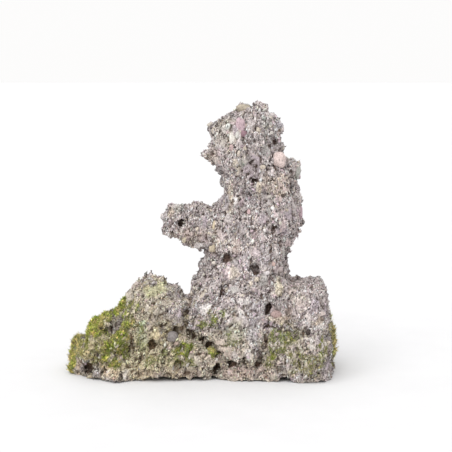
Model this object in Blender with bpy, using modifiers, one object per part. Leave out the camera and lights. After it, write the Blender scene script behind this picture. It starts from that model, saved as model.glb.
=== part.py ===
"""A weathered ibigawa rock with living moss on it, at its real size.

The rock is one piece of porous conglomerate. A long low foot carries a hill on the left and a block on the right,
and a tall pillar stands between them with a blunt arm reaching out to the left. Pebbles stand out of it and pits,
fissures and grooves run into it. It rests on z = 0 with the origin on its flat underside, and its broad show face
is turned to -Y. Moss grows on it in separate cushions.
"""

import math
import random

import bmesh
import bpy
from mathutils import Matrix, Vector
from mathutils.bvhtree import BVHTree

MM = 0.001

# Driving dimensions, in millimetres
FOOT_FOLD = 16.0  # a section of the foot is as far below half this height as it is above it
BODY_VOXEL = 2.6  # the body masses are fused on a grid of this size
DETAIL_VOXEL = 1.5  # the pits and pebbles are fused on a finer one
ROCK_FACES = 8800
RING_POINTS = 28
MOSS_VOXEL = 1.5
MOSS_FACES = 150  # of a cushion's outer side, before the stone is taken out of it
MOSS_GAP = 0.7  # how far the stone is swollen before it is taken out of a cushion

# The foot, from left to right: x, top, front and back
FOOT = [
    (-123, 26, -17, 13),
    (-117, 32, -30, 24),
    (-110, 33, -39, 31),
    (-105, 40, -45, 35),
    (-96, 49, -51, 38),
    (-86, 55, -54, 40),
    (-78, 61, -56, 42),
    (-69, 75, -56, 43),
    (-60, 87, -55, 43),
    (-51, 92, -54, 43),
    (-43, 89, -54, 42),
    (-33, 84, -53, 42),
    (-23, 79, -51, 43),
    (-16, 68, -50, 44),
    (0, 62, -50, 45),
    (30, 60, -51, 46),
    (60, 60, -55, 46),
    (76, 72, -59, 46),
    (83, 85, -62, 45),
    (92, 87, -65, 44),
    (101, 87, -63, 42),
    (109, 85, -57, 38),
    (115, 75, -49, 34),
    (120, 55, -38, 28),
    (123, 38, -28, 20),
]
FOOT_POWER = 2.8

# The pillar, from the ground up: height, left edge, right edge, front and back
PILLAR = [
    (-6, -14, 84, -42, 34),
    (12, -16, 82, -46, 34),
    (30, -17, 80, -49, 34),
    (52, -17, 80, -48, 33),
    (70, -16, 81, -44, 31),
    (84, -13, 82, -40, 29),
    (94, -7, 82, -37, 28),
    (102, -4, 82, -35, 27),
    (109, 1, 80, -33, 26),
    (118, 4, 82, -32, 26),
    (127, 6, 88, -31, 26),
    (136, 7, 94, -31, 26),
    (148, 9, 94, -31, 26),
    (158, 13, 94, -30, 26),
    (166, 16, 93, -30, 25),
    (174, 16, 91, -29, 25),
    (182, 13, 89, -29, 24),
    (191, 8, 88, -29, 24),
    (199, 4, 79, -28, 23),
    (207, 4, 74, -28, 22),
    (216, 5, 73, -27, 21),
    (226, 5, 73, -25, 20),
    (232, 7, 73, -23, 18),
    (238, 15, 68, -20, 16),
    (244, 26, 61, -16, 13),
    (249, 36, 60, -11, 9),
    (252, 47, 57, -5, 4),
]
PILLAR_POWER = 2.7

# The arm, from its blunt end into the pillar: x, underside, top, front and back
ARM = [
    (-40, 127, 149, -17, 10),
    (-38, 124, 152, -20, 13),
    (-32, 121, 155, -23, 16),
    (-23, 118, 157, -24, 17),
    (-15, 115, 156, -23, 18),
    (-6, 113, 158, -23, 18),
    (3, 111, 157, -24, 19),
    (14, 110, 157, -24, 19),
    (26, 110, 156, -22, 18),
]
ARM_POWER = 2.4

# Knobs and spurs that break the outline: centre x, y, z, then half sizes, then lean in degrees about Y
KNOBS = [
    (3, -4, 202, 8, 8, 5, 20),
    (6, -2, 227, 7, 8, 6, -15),
    (27, 0, 239, 8, 9, 4, 25),
    (55, -2, 249, 6, 7, 5, 0),
    (69, 0, 235, 5, 8, 7, 10),
    (83, -3, 192, 8, 9, 6, 0),
    (88, -6, 186, 4, 7, 10, 5),
    (91, 0, 139, 6, 12, 9, 0),
    (-30, -3, 153, 8, 10, 5, 0),
    (-5, -2, 156, 11, 10, 4, 0),
    (14, -2, 158, 6, 10, 5, 30),
    (-53, -2, 92, 8, 11, 6, 0),
    (-38, -4, 86, 7, 12, 6, 0),
    (-27, -2, 79, 7, 12, 5, 0),
    (-92, -12, 50, 9, 16, 5, 30),
    (88, 0, 86, 7, 16, 5, 0),
    (104, -4, 87, 9, 18, 4, 8),
    (-3, -4, 90, 6, 10, 10, 20),
    (6, -4, 104, 5, 10, 8, 15),
    (-110, -22, 5, 12, 16, 9, 0),
]

# Forms that stand out behind: centre x, y, z, then half sizes, then lean in degrees about Y
BACK_FORMS = [
    (34, 18, 214, 22, 11, 20, 0),
    (62, 18, 172, 18, 12, 22, 10),
    (28, 20, 136, 16, 13, 20, -20),
    (68, 24, 104, 16, 14, 24, 0),
    (24, 30, 74, 22, 16, 24, 15),
    (-54, 34, 46, 24, 14, 30, -15),
    (-92, 28, 24, 20, 13, 18, 0),
    (-14, 38, 26, 24, 12, 20, 0),
    (54, 40, 34, 24, 12, 26, 0),
    (100, 34, 48, 17, 13, 26, 0),
]

# Forms that stand forward of the show face: centre x, height, half width, half height, how far proud, lean
SHOW_FORMS = [
    (34, 36, 22, 26, 8, 12),
    (44, 22, 9, 13, 8, 10),
    (30, 19, 7, 11, 8, 0),
    (20, 60, 13, 22, 6, 8),
    (90, 62, 20, 24, 7, 0),
    (98, 28, 18, 20, 6, 0),
    (69, 38, 14, 12, 5, 0),
    (67, 56, 11, 5, 6, 0),
    (-50, 66, 17, 20, 7, 0),
    (-30, 56, 12, 17, 6, 0),
    (-84, 32, 18, 24, 7, -10),
    (-104, 26, 12, 12, 6, 0),
    (-42, 16, 22, 12, 7, 0),
    (-8, 18, 15, 11, 7, 0),
    (-4, 60, 10, 15, 5, 10),
    (46, 122, 16, 26, 5, 10),
    (70, 152, 13, 26, 5, 0),
    (30, 150, 12, 22, 5, 0),
    (62, 108, 11, 22, 4, 0),
    (22, 222, 13, 16, 4, 0),
    (52, 226, 12, 18, 4, 0),
    (26, 184, 11, 18, 3, 0),
    (68, 178, 14, 14, 5, 0),
]

# Pebbles that stand out of the show face: centre x, height, half sizes across, up and deep, lean
SHOW_PEBBLES = [
    (69.5, 199, 6.8, 7.2, 6.4, 0),
    (34.5, 233, 4.4, 8.8, 3.8, 0),
    (25.5, 220, 3.4, 6.0, 3.0, 12),
    (36.5, 245, 8.0, 4.4, 4.8, 0),
    (87.0, 188, 3.4, 7.6, 5.0, 0),
    (25.5, 207, 2.8, 4.0, 2.8, 0),
    (68.5, 81, 4.4, 9.0, 3.6, 0),
    (-29.0, 38, 5.2, 5.6, 5.0, 0),
    (-42.0, 42, 5.6, 6.6, 4.0, 15),
    (-80.0, 6, 8.6, 8.0, 6.0, 0),
    (-49.0, 84, 9.0, 5.4, 4.4, -10),
    (-20.0, 126, 4.8, 5.4, 4.0, 0),
    (-33.0, 146, 5.0, 5.6, 4.2, 0),
    (8.0, 119, 4.4, 5.6, 4.0, 0),
    (105.0, 62, 8.0, 4.0, 4.4, -12),
    (22.0, 96, 3.4, 9.0, 3.6, 6),
    (40.0, 140, 4.8, 6.2, 3.6, 10),
    (16.0, 176, 4.6, 6.4, 3.8, 0),
    (83.0, 152, 5.2, 7.4, 4.0, 0),
    (52.0, 212, 4.6, 5.4, 3.8, 0),
    (-66.0, 60, 5.4, 6.4, 4.2, 0),
    (97.0, 10, 6.8, 6.0, 5.4, 0),
    (28.0, 4, 6.0, 6.4, 5.4, 0),
    (-2.0, 8, 5.4, 6.0, 4.8, 0),
    (50.0, 152, 5.0, 6.6, 4.0, -12),
    (11.0, 130, 5.4, 5.0, 4.2, 0),
]

# Pits in the show face: centre x, height, half width, half height, depth, lean in degrees clockwise
SHOW_PITS = [
    (-20, 140, 5.2, 5.0, 9, 0),
    (-30, 131, 3.0, 2.8, 5, 0),
    (-14, 127, 3.2, 3.4, 6, 0),
    (-5, 146, 3.0, 3.2, 5, 0),
    (21.5, 109, 4.6, 5.0, 11, 0),
    (46, 99, 5.0, 4.0, 9, 20),
    (10.5, 98, 4.0, 4.4, 7, 0),
    (3.5, 115, 4.0, 4.0, 7, 0),
    (63, 136, 4.2, 3.8, 6, 0),
    (65.5, 216, 2.8, 4.2, 8, -20),
    (58, 193, 5.0, 3.6, 8, 0),
    (46, 181, 4.0, 4.6, 8, 0),
    (36, 214, 3.2, 5.0, 7, 0),
    (29, 212, 2.6, 3.4, 5, 0),
    (81, 184, 3.0, 7.0, 7, 0),
    (58.5, 161, 2.6, 5.4, 6, 0),
    (26.5, 164, 2.6, 6.0, 6, 0),
    (58.5, 65, 3.6, 5.6, 11, 20),
    (78, 70, 3.8, 5.6, 9, 0),
    (-46.5, 34, 5.4, 4.6, 10, 0),
    (-106, 9, 6.4, 6.4, 12, 0),
    (-86, 47, 5.8, 4.8, 7, 0),
    (12, 9, 4.4, 7.4, 12, 12),
    (-58, 12, 3.4, 6.0, 6, 0),
    (-68, 44, 3.2, 5.0, 6, 0),
    (-36, 66, 3.4, 5.0, 6, 0),
    (-52, 52, 3.0, 4.4, 5, 0),
    (38, 82, 3.4, 5.0, 6, 0),
    (52, 79, 3.0, 5.4, 6, 0),
    (30, 52, 3.0, 5.4, 5, -8),
    (94, 44, 4.4, 3.0, 5, 0),
    (108, 38, 3.8, 3.4, 6, 0),
    (86, 20, 3.6, 3.4, 6, 0),
    (112, 16, 4.0, 5.0, 6, 0),
    (96, 76, 4.0, 3.6, 6, 0),
    (68, 12, 4.6, 3.4, 6, 0),
    (-24, 12, 3.8, 4.4, 6, 0),
    (-44, 8, 3.8, 3.8, 6, 0),
    (77, 124, 3.2, 4.2, 6, 0),
    (74, 96, 3.2, 5.6, 6, 0),
    (34, 128, 3.2, 4.4, 5, 0),
    (20, 140, 3.2, 4.4, 5, 0),
    (82, 168, 3.2, 4.8, 6, 0),
    (32, 190, 3.4, 5.4, 6, 0),
    (15, 196, 3.6, 4.2, 6, 0),
    (14, 216, 3.2, 3.8, 5, 0),
    (50, 240, 3.0, 5.0, 6, 0),
    (66, 228, 3.0, 4.4, 6, 0),
]

# Fissures, grooves and undercuts in the show face, each a run of x, height, half width across it and depth
SHOW_CRACKS = {
    "undercut_left": [(-28, 47, 3.2, 9), (-21, 45, 4.4, 12), (-14, 41, 3.4, 9), (-10, 41, 5.0, 13)],
    "undercut_centre": [(-10, 41, 4.6, 12), (-3, 36, 4.4, 12), (5, 32, 4.8, 13), (14, 24, 3.6, 10)],
    "under_the_tongue": [(14, 24, 3.0, 9), (23, 15, 3.8, 11), (32, 15, 4.4, 12), (39, 20, 2.8, 8)],
    "hill_to_pillar": [(-16, 80, 3.6, 14), (-17, 68, 3.4, 16), (-15, 56, 2.6, 10), (-16, 47, 2.4, 7)],
    "block_to_pillar": [(82, 90, 3.6, 13), (80, 80, 3.2, 12), (77, 70, 3.0, 8)],
    "ledge_recess": [(58, 66, 2.6, 9), (66, 64, 2.2, 8), (74, 65, 2.8, 9), (79, 74, 2.6, 8)],
    "ledge_crack": [(56, 50, 1.4, 5), (65, 49, 1.4, 6), (72, 47, 1.5, 6), (80, 51, 1.4, 5)],
    "right_of_the_tongue": [(60, 48, 2.0, 6), (57, 36, 2.6, 8), (54, 24, 2.8, 9), (47, 13, 3.0, 9)],
    "long_groove": [(22, 94, 2.2, 6), (19, 86, 2.6, 8), (16, 77, 2.6, 9), (14, 68, 2.0, 6)],
    "short_slot": [(36, 116, 2.0, 6), (30, 107, 2.4, 7)],
    "arm_crease": [(13, 148, 2.0, 5), (10, 136, 2.4, 6), (7, 124, 2.4, 7), (2, 114, 3.2, 9)],
    "left_seam": [(-64, 50, 1.8, 5), (-66, 38, 2.0, 6), (-68, 26, 2.2, 7), (-66, 14, 2.0, 6)],
    "hill_seam": [(-39, 62, 1.8, 5), (-38, 52, 2.0, 6), (-33, 45, 2.0, 6)],
    "shelf_on_the_right": [(98, 54, 1.8, 6), (106, 57, 2.0, 7), (114, 60, 1.8, 6)],
    "pillar_seam": [(44, 176, 2.0, 6), (43, 166, 2.2, 6), (45, 154, 1.8, 5)],
    "head_seam": [(58, 246, 1.6, 5), (60, 234, 2.0, 6), (58, 224, 1.6, 5)],
}

# Hollows between the underside and the surface it stands on: centre x, y, then half sizes
HOLLOWS = [
    (-36, -52, 24, 9, 3.2),
    (74, -58, 7, 10, 4.4),
    (-70, 2, 14, 12, 3.0),
    (30, 42, 20, 16, 4.6),
    (48, -6, 16, 12, 2.6),
    (-40, 42, 15, 12, 4.8),
    (100, 20, 12, 14, 3.4),
    (-110, 2, 10, 12, 4.0),
]

SCATTER_SEED = 11
HIDDEN_PITS = 74
HIDDEN_PEBBLES = 60

# Moss cushions, each of domes: centre x, y and height, half width, half depth and half height
# None for y sets the dome on the show face
MOSS = {
    "moss_left_crest": [
        (-104, -16, 40, 8, 18, 6),
        (-97, -17, 46, 12, 21, 6),
        (-89, -17, 52, 12, 22, 6),
        (-81, -17, 57, 11, 21, 7),
        (-75, -17, 65, 8, 17, 9),
        (-78, -40, 57, 9, 12, 11),
        (-90, -38, 48, 9, 12, 9),
    ],
    "moss_left_end": [
        (-118, -11, 25, 9, 18, 9),
        (-110, -14, 31, 9, 20, 7),
        (-121, -15, 13, 8, 18, 11),
        (-113, -33, 20, 10, 10, 14),
    ],
    "moss_left_face": [
        (-74, None, 50, 6, 6, 12),
        (-77, None, 36, 9, 6, 13),
        (-79, None, 23, 10, 6, 9),
    ],
    "moss_front_tuft": [
        (-15, None, 29, 9, 6, 7),
        (-9, None, 24, 6, 5, 5),
    ],
    "moss_centre_face": [
        (12, None, 50, 8, 3.8, 10),
        (2, None, 44, 7, 3.8, 7),
    ],
    "moss_shelf_tuft": [
        (8, None, 22, 7, 5, 5),
    ],
    "moss_right_face": [
        (66, None, 38, 11, 3.8, 9),
        (72, None, 29, 10, 3.8, 9),
    ],
    "moss_right_end": [
        (118, -14, 42, 6, 17, 14),
        (120, -16, 32, 6, 20, 14),
        (121, -14, 20, 6, 18, 14),
    ],
}

# Cushions that would run into one built before them
MOSS_NEIGHBOURS = {
    "moss_left_end": "moss_left_crest",
    "moss_left_face": "moss_left_crest",
    "moss_shelf_tuft": "moss_front_tuft",
}

STONE_COLOUR = (0.36, 0.31, 0.29, 1.0)
MOSS_COLOUR = (0.16, 0.20, 0.03, 1.0)


def clear_scene():
    for leftover in list(bpy.data.objects):
        bpy.data.objects.remove(leftover, do_unlink=True)


def new_collection(name):
    made = bpy.data.collections.new(name)
    bpy.context.scene.collection.children.link(made)
    return made


def new_material(name, colour, roughness):
    material = bpy.data.materials.new(name)
    material.use_nodes = True
    shader = material.node_tree.nodes["Principled BSDF"]
    shader.inputs["Base Color"].default_value = colour
    shader.inputs["Roughness"].default_value = roughness
    shader.inputs["Metallic"].default_value = 0.0
    return material


def new_object(name, form, collection):
    """An object made from a bmesh, which is freed."""
    mesh = bpy.data.meshes.new(name)
    form.to_mesh(mesh)
    form.free()
    made = bpy.data.objects.new(name, mesh)
    collection.objects.link(made)
    return made


def new_cutter(name, form, collection):
    cutter = new_object(name, form, collection)
    cutter.hide_render = True
    cutter.display_type = "WIRE"
    return cutter


def bake(target):
    """Puts an object's modifiers into its mesh."""
    graph = bpy.context.evaluated_depsgraph_get()
    baked = bpy.data.meshes.new_from_object(target.evaluated_get(graph))
    target.modifiers.clear()
    target.data = baked


def fuse(target, voxel, smoothing=0):
    """Makes one skin of all that an object's mesh holds, on a grid of the given size."""
    grid = target.modifiers.new("grid", "REMESH")
    grid.mode = "VOXEL"
    grid.voxel_size = voxel * MM
    if smoothing:
        soften = target.modifiers.new("soften", "SMOOTH")
        soften.factor = 0.5
        soften.iterations = smoothing
    bake(target)


def cut(target, cutter, cross_itself=False):
    saw = target.modifiers.new("cut", "BOOLEAN")
    saw.operation = "DIFFERENCE"
    saw.solver = "EXACT"
    saw.use_self = cross_itself
    saw.object = cutter
    bake(target)


def thin_out(target, wanted):
    """Collapses edges, the flattest first, down to a number of triangles."""
    target.data.calc_loop_triangles()
    fewer = target.modifiers.new("fewer", "DECIMATE")
    fewer.decimate_type = "COLLAPSE"
    fewer.ratio = min(1.0, wanted / len(target.data.loop_triangles))
    fewer.use_collapse_triangulate = True
    bake(target)


def displace(target, texture, strength, guide=None, still=0.5):
    """Moves the surface in and out by a texture, where its value is above or below the still one."""
    push = target.modifiers.new(texture.name, "DISPLACE")
    push.texture = texture
    push.strength = strength * MM
    push.mid_level = still
    push.texture_coords = "GLOBAL" if guide is None else "OBJECT"
    push.texture_coords_object = guide


def cloud(name, size, depth):
    texture = bpy.data.textures.new(name, "CLOUDS")
    texture.noise_basis = "ORIGINAL_PERLIN"
    texture.noise_scale = size * MM
    texture.noise_depth = depth
    return texture


def clods(name, size):
    """A texture of rounded cells with creases between them."""
    texture = bpy.data.textures.new(name, "VORONOI")
    texture.noise_scale = size * MM
    texture.weight_1 = -1.0
    texture.weight_2 = 1.0
    return texture


def flow_guide(collection, stretch):
    """An empty whose space makes a texture long in Z, as the stone's flow lines are."""
    guide = bpy.data.objects.new("flow_guide", None)
    guide.scale = (1.0, 1.0, stretch)
    collection.objects.link(guide)
    return guide


def oval(half_u, half_v, power):
    """Points of a superellipse, counter-clockwise, starting on the u axis."""
    points = []
    for step in range(RING_POINTS):
        angle = 2 * math.pi * step / RING_POINTS
        c, s = math.cos(angle), math.sin(angle)
        u = math.copysign(abs(c) ** (2 / power), c) * half_u
        v = math.copysign(abs(s) ** (2 / power), s) * half_v
        points.append((u, v))
    return points


def foot_rings():
    rings = []
    for x, top, front, back in FOOT:
        mid_y, mid_z = (front + back) / 2, FOOT_FOLD / 2
        section = oval((back - front) / 2, top - mid_z, FOOT_POWER)
        rings.append([(x, mid_y + u, mid_z + v) for u, v in section])
    return rings


def pillar_rings():
    rings = []
    for height, left, right, front, back in PILLAR:
        mid_x, mid_y = (left + right) / 2, (front + back) / 2
        section = oval((right - left) / 2, (back - front) / 2, PILLAR_POWER)
        rings.append([(mid_x + u, mid_y + v, height) for u, v in section])
    return rings


def arm_rings():
    rings = []
    for x, low, high, front, back in ARM:
        mid_y, mid_z = (front + back) / 2, (low + high) / 2
        section = oval((back - front) / 2, (high - low) / 2, ARM_POWER)
        rings.append([(x, mid_y + u, mid_z + v) for u, v in section])
    return rings


def loft(form, rings):
    """Skins closed rings of equal length, first to last, and caps both ends."""
    rows = [[form.verts.new(Vector(point) * MM) for point in ring] for ring in rings]
    for low, high in zip(rows, rows[1:]):
        for i in range(RING_POINTS):
            j = (i + 1) % RING_POINTS
            form.faces.new((low[i], low[j], high[j], high[i]))
    form.faces.new(list(reversed(rows[0])))
    form.faces.new(rows[-1])


def ellipsoid(form, centre, half_sizes, turn=None, fineness=2):
    """A closed ellipsoid in millimetres, turned about its own centre."""
    place = Matrix.Translation(Vector(centre) * MM)
    if turn is not None:
        place = place @ turn.to_4x4()
    stretch = Matrix.Diagonal((*[size * MM for size in half_sizes], 1.0))
    bmesh.ops.create_icosphere(form, subdivisions=fineness, radius=1.0, matrix=place @ stretch)


def lean(degrees):
    """A turn in the plane of the show face, clockwise as it is seen."""
    return Matrix.Rotation(math.radians(degrees), 3, "Y")


def surface_of(target):
    form = bmesh.new()
    form.from_mesh(target.data)
    tree = BVHTree.FromBMesh(form)
    form.free()
    return tree


def show_face_point(tree, x, height):
    """Where the show face is at this place, in millimetres, or its nearest point past the outline."""
    start = Vector((x * MM, -1.0, height * MM))
    point = tree.ray_cast(start, Vector((0, 1, 0)))[0]
    if point is None:
        point = tree.find_nearest(Vector((x * MM, 0, height * MM)))[0]
    return point / MM


def add_show_forms(form, tree):
    for x, height, half_x, half_z, proud, turn in SHOW_FORMS:
        depth = 2.2 * proud
        centre = show_face_point(tree, x, height) + Vector((0, depth - proud, 0))
        ellipsoid(form, centre, (half_x, depth, half_z), lean(turn), 3)


def add_show_pebbles(form, tree):
    for x, height, half_x, half_z, half_y, turn in SHOW_PEBBLES:
        centre = show_face_point(tree, x, height) + Vector((0, 0.2 * half_y, 0))
        ellipsoid(form, centre, (half_x, half_y, half_z), lean(turn))


def add_show_pits(form, tree):
    for x, height, half_x, half_z, depth, turn in SHOW_PITS:
        ellipsoid(form, show_face_point(tree, x, height), (half_x, depth, half_z), lean(turn))


def add_show_cracks(form, tree):
    """Each crack is a close row of ellipsoids between one point of its run and the next."""
    for run in SHOW_CRACKS.values():
        for start, end in zip(run, run[1:]):
            length = math.hypot(end[0] - start[0], end[1] - start[1])
            steps = max(2, round(length / min(start[2], end[2])))
            for step in range(steps + 1):
                x, height, half, depth = [a + (b - a) * step / steps for a, b in zip(start, end)]
                ellipsoid(form, show_face_point(tree, x, height), (half, depth, half))


def add_hollows(form):
    for x, y, half_x, half_y, height in HOLLOWS:
        ellipsoid(form, (x, y, 0), (half_x, half_y, height), None, 3)


def hidden_places(target, count, draw):
    """Places spread by area over all but the show face, which has its own lists, with their normals."""
    target.data.calc_loop_triangles()
    faces = [t for t in target.data.loop_triangles if t.normal.y > -0.45 and t.center.z > 6 * MM]
    areas = [t.area for t in faces]
    return [(t.center / MM, t.normal.copy()) for t in draw.choices(faces, areas, k=count)]


def set_into(normal, draw):
    """A turn that lays the local Y axis along a normal, with a free spin about it."""
    aim = normal.to_track_quat("Y", "Z").to_matrix()
    return aim @ Matrix.Rotation(draw.uniform(0, math.pi), 3, "Y")


def add_hidden_pits(form, target, draw):
    for place, normal in hidden_places(target, HIDDEN_PITS, draw):
        half = draw.uniform(2.6, 5.4)
        sizes = (half, draw.uniform(4.0, 9.0), half * draw.uniform(0.8, 2.0))
        ellipsoid(form, place, sizes, set_into(normal, draw))


def add_hidden_pebbles(form, target, draw):
    for place, normal in hidden_places(target, HIDDEN_PEBBLES, draw):
        half = draw.uniform(3.4, 7.0)
        sizes = (half, half * 0.75, half * draw.uniform(0.8, 1.6))
        ellipsoid(form, place - normal * half * 0.2, sizes, set_into(normal, draw))


def add_to(target, form):
    """Puts a bmesh of closed pieces beside what an object's mesh holds."""
    form.from_mesh(target.data)
    form.to_mesh(target.data)
    form.free()


def make_masses(parts):
    body = bmesh.new()
    loft(body, foot_rings())
    loft(body, pillar_rings())
    loft(body, arm_rings())
    for x, y, z, half_x, half_y, half_z, turn in KNOBS + BACK_FORMS:
        ellipsoid(body, (x, y, z), (half_x, half_y, half_z), lean(turn))
    bmesh.ops.recalc_face_normals(body, faces=body.faces)
    rock = new_object("rock", body, parts)
    fuse(rock, BODY_VOXEL, 3)
    forms = bmesh.new()
    add_show_forms(forms, surface_of(rock))
    add_to(rock, forms)
    fuse(rock, BODY_VOXEL, 2)
    return rock


def weather(rock, helpers):
    """Roughens the body into lumps, clods and upright flow ridges."""
    guide = flow_guide(helpers, 2.2)
    displace(rock, cloud("lumps", 24, 1), 13.0)
    displace(rock, clods("clods", 15), 8.0, None, 0.38)
    displace(rock, cloud("flow", 8, 2), 10.0, guide)
    bake(rock)
    fuse(rock, DETAIL_VOXEL)


def make_cutter(rock, helpers, draw):
    """All pits, cracks and hollows in one rough-walled cutter."""
    tree = surface_of(rock)
    form = bmesh.new()
    add_show_pits(form, tree)
    add_show_cracks(form, tree)
    add_hidden_pits(form, rock, draw)
    add_hollows(form)
    cutter = new_cutter("pit_cutter", form, helpers)
    fuse(cutter, DETAIL_VOXEL)
    displace(cutter, cloud("rough_walls", 5, 1), 3.0)
    fuse(cutter, DETAIL_VOXEL)
    return cutter


def stand_flat(rock, helpers):
    """Takes off what is below z = 0, so that the underside is one flat with hollows in it."""
    form = bmesh.new()
    place = Matrix.Translation((0, 0, -0.1)) @ Matrix.Diagonal((0.6, 0.6, 0.2, 1.0))
    bmesh.ops.create_cube(form, size=1.0, matrix=place)
    cut(rock, new_cutter("ground_cutter", form, helpers))


def build_rock(parts, helpers, stone):
    rock = make_masses(parts)
    weather(rock, helpers)
    draw = random.Random(SCATTER_SEED)
    cutter = make_cutter(rock, helpers, draw)
    pebbles = bmesh.new()
    add_show_pebbles(pebbles, surface_of(rock))
    add_hidden_pebbles(pebbles, rock, draw)
    cut(rock, cutter)
    add_to(rock, pebbles)
    fuse(rock, DETAIL_VOXEL, 1)
    thin_out(rock, ROCK_FACES)
    stand_flat(rock, helpers)
    rock.data.materials.clear()
    rock.data.materials.append(stone)
    return rock


def swollen(piece, helpers):
    """A cutter of a piece with its surface moved out, which keeps a cushion clear of it."""
    form = bmesh.new()
    form.from_mesh(piece.data)
    form.normal_update()
    for vertex in form.verts:
        vertex.co += vertex.normal * MOSS_GAP * MM
    return new_cutter(piece.name + "_swollen", form, helpers)


def keep_largest(target):
    """Removes every island of an object's mesh but the one with the most faces."""
    form = bmesh.new()
    form.from_mesh(target.data)
    waiting = set(form.faces)
    islands = []
    while waiting:
        island = []
        edge = [waiting.pop()]
        while edge:
            face = edge.pop()
            island.append(face)
            for loop in face.loops:
                for other in loop.edge.link_faces:
                    if other in waiting:
                        waiting.remove(other)
                        edge.append(other)
        islands.append(island)
    islands.sort(key=len)
    spare = [face for island in islands[:-1] for face in island]
    bmesh.ops.delete(form, geom=spare, context="FACES")
    form.to_mesh(target.data)
    form.free()


def build_moss(parts, helpers, rock, moss):
    """Cushions that stand clear of the stone and, where they would meet, of each other."""
    tree = surface_of(rock)
    cutters = {"rock": swollen(rock, helpers)}
    for name, domes in MOSS.items():
        form = bmesh.new()
        for x, y, height, half_x, half_y, half_z in domes:
            centre = show_face_point(tree, x, height) if y is None else Vector((x, y, height))
            ellipsoid(form, centre, (half_x, half_y, half_z), None, 3)
        cushion = new_object(name, form, parts)
        fuse(cushion, MOSS_VOXEL, 6)
        thin_out(cushion, MOSS_FACES)
        cutters[name] = swollen(cushion, helpers)
        if name in MOSS_NEIGHBOURS:
            cut(cushion, cutters[MOSS_NEIGHBOURS[name]])
        cut(cushion, cutters["rock"], True)
        keep_largest(cushion)
        cushion.data.materials.clear()
        cushion.data.materials.append(moss)


def main():
    clear_scene()
    parts = new_collection("ibigawa_rock")
    helpers = new_collection("helpers")
    rock = build_rock(parts, helpers, new_material("stone", STONE_COLOUR, 0.9))
    build_moss(parts, helpers, rock, new_material("moss", MOSS_COLOUR, 1.0))


main()
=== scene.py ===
"""The looks of a weathered ibigawa rock with living moss on it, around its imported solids."""

import math

import bmesh
import bpy
import numpy as np
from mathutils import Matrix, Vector


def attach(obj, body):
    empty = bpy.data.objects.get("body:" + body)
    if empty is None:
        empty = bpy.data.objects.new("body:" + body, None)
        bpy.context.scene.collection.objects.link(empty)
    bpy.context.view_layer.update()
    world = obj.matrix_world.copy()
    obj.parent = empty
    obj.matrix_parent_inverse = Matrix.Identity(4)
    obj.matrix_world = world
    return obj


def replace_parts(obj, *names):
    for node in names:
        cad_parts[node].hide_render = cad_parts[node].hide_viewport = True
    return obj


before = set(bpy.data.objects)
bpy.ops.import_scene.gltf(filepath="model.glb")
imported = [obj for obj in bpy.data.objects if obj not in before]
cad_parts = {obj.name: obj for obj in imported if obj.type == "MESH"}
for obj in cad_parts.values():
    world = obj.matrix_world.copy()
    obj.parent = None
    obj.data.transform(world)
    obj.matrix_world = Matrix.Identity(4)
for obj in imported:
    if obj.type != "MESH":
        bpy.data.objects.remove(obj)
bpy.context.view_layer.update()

# The stone
# One free-standing lump of porous conglomerate: sand and gravel bound by a grey-mauve cement that weather has eaten
# into clods, creases and pores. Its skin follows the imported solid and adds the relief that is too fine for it.
MM = 0.001
SKIN_VOXEL = 1.42
FLOW_STRETCH = 2.1  # clods and pores are this much longer along the flow than across
FLUTE_SIZE, FLUTE_STRETCH, FLUTE_HEIGHT = 9.0, 2.6, 1.3
CLOD_SIZE, CLOD_HEIGHT = 6.4, 1.2
CHIP_SIZE, CHIP_STEP = 3.1, 1.7
CLAST_SIZE, CLAST_SHARE, CLAST_RISE = 7.5, 0.4, 0.7
CRACK_SIZE, CRACK_STRETCH, CRACK_DEPTH = 7.0, 2.8, 2.4
PORE_SIZE, PORE_DEPTH = 3.6, 2.6
PINHOLE_DEPTH = 1.3
SKIN_LOSS = 0.5  # weather has taken this much off all over
FILLING = 0.75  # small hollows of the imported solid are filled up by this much, and cut again where they are ragged
FINE_ROUNDS, BROAD_ROUNDS = 3, 14
PEBBLE_GROOVE = 0.8
RAGGEDNESS = 1.6  # how far the edge of a hole wanders
HOLLOW_DIRT_AND_SHADE = (0.29, 0.22, 0.18)  # what brown dirt and painted shade leave of the stone's colour in a hollow
FAN_TOP, FAN_LEAN = 115, 0.42  # below this height the flow fans out, and leans this much to the left as it falls
HASH_STEPS = np.array([73856093, 19349663, 83492791])
LOW_BITS = 0xFFFFFFFF


def copy_of(node, name):
    """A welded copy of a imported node, for a piece that takes its place."""
    form = bmesh.new()
    form.from_mesh(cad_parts[node].data)
    bmesh.ops.remove_doubles(form, verts=form.verts, dist=0.001 * MM)
    mesh = bpy.data.meshes.new(name)
    form.to_mesh(mesh)
    form.free()
    made = bpy.data.objects.new(name, mesh)
    bpy.context.scene.collection.objects.link(made)
    return made


def regrid(piece, voxel, smoothing):
    """Gives a piece even faces of one size, and rounds its flat facets off."""
    grid = piece.modifiers.new("grid", "REMESH")
    grid.mode = "VOXEL"
    grid.voxel_size = voxel * MM
    soften = piece.modifiers.new("soften", "SMOOTH")
    soften.factor = 0.5
    soften.iterations = smoothing
    shaped = piece.evaluated_get(bpy.context.evaluated_depsgraph_get())
    mesh = bpy.data.meshes.new_from_object(shaped)
    piece.modifiers.clear()
    piece.data = mesh


def read(collection, field, width, kind=float):
    """One array from a field of a mesh's vertices, edges or triangles."""
    flat = np.empty(len(collection) * width, np.float32 if kind is float else np.int32)
    collection.foreach_get(field, flat)
    return flat.reshape(-1, width).astype(kind)


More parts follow.
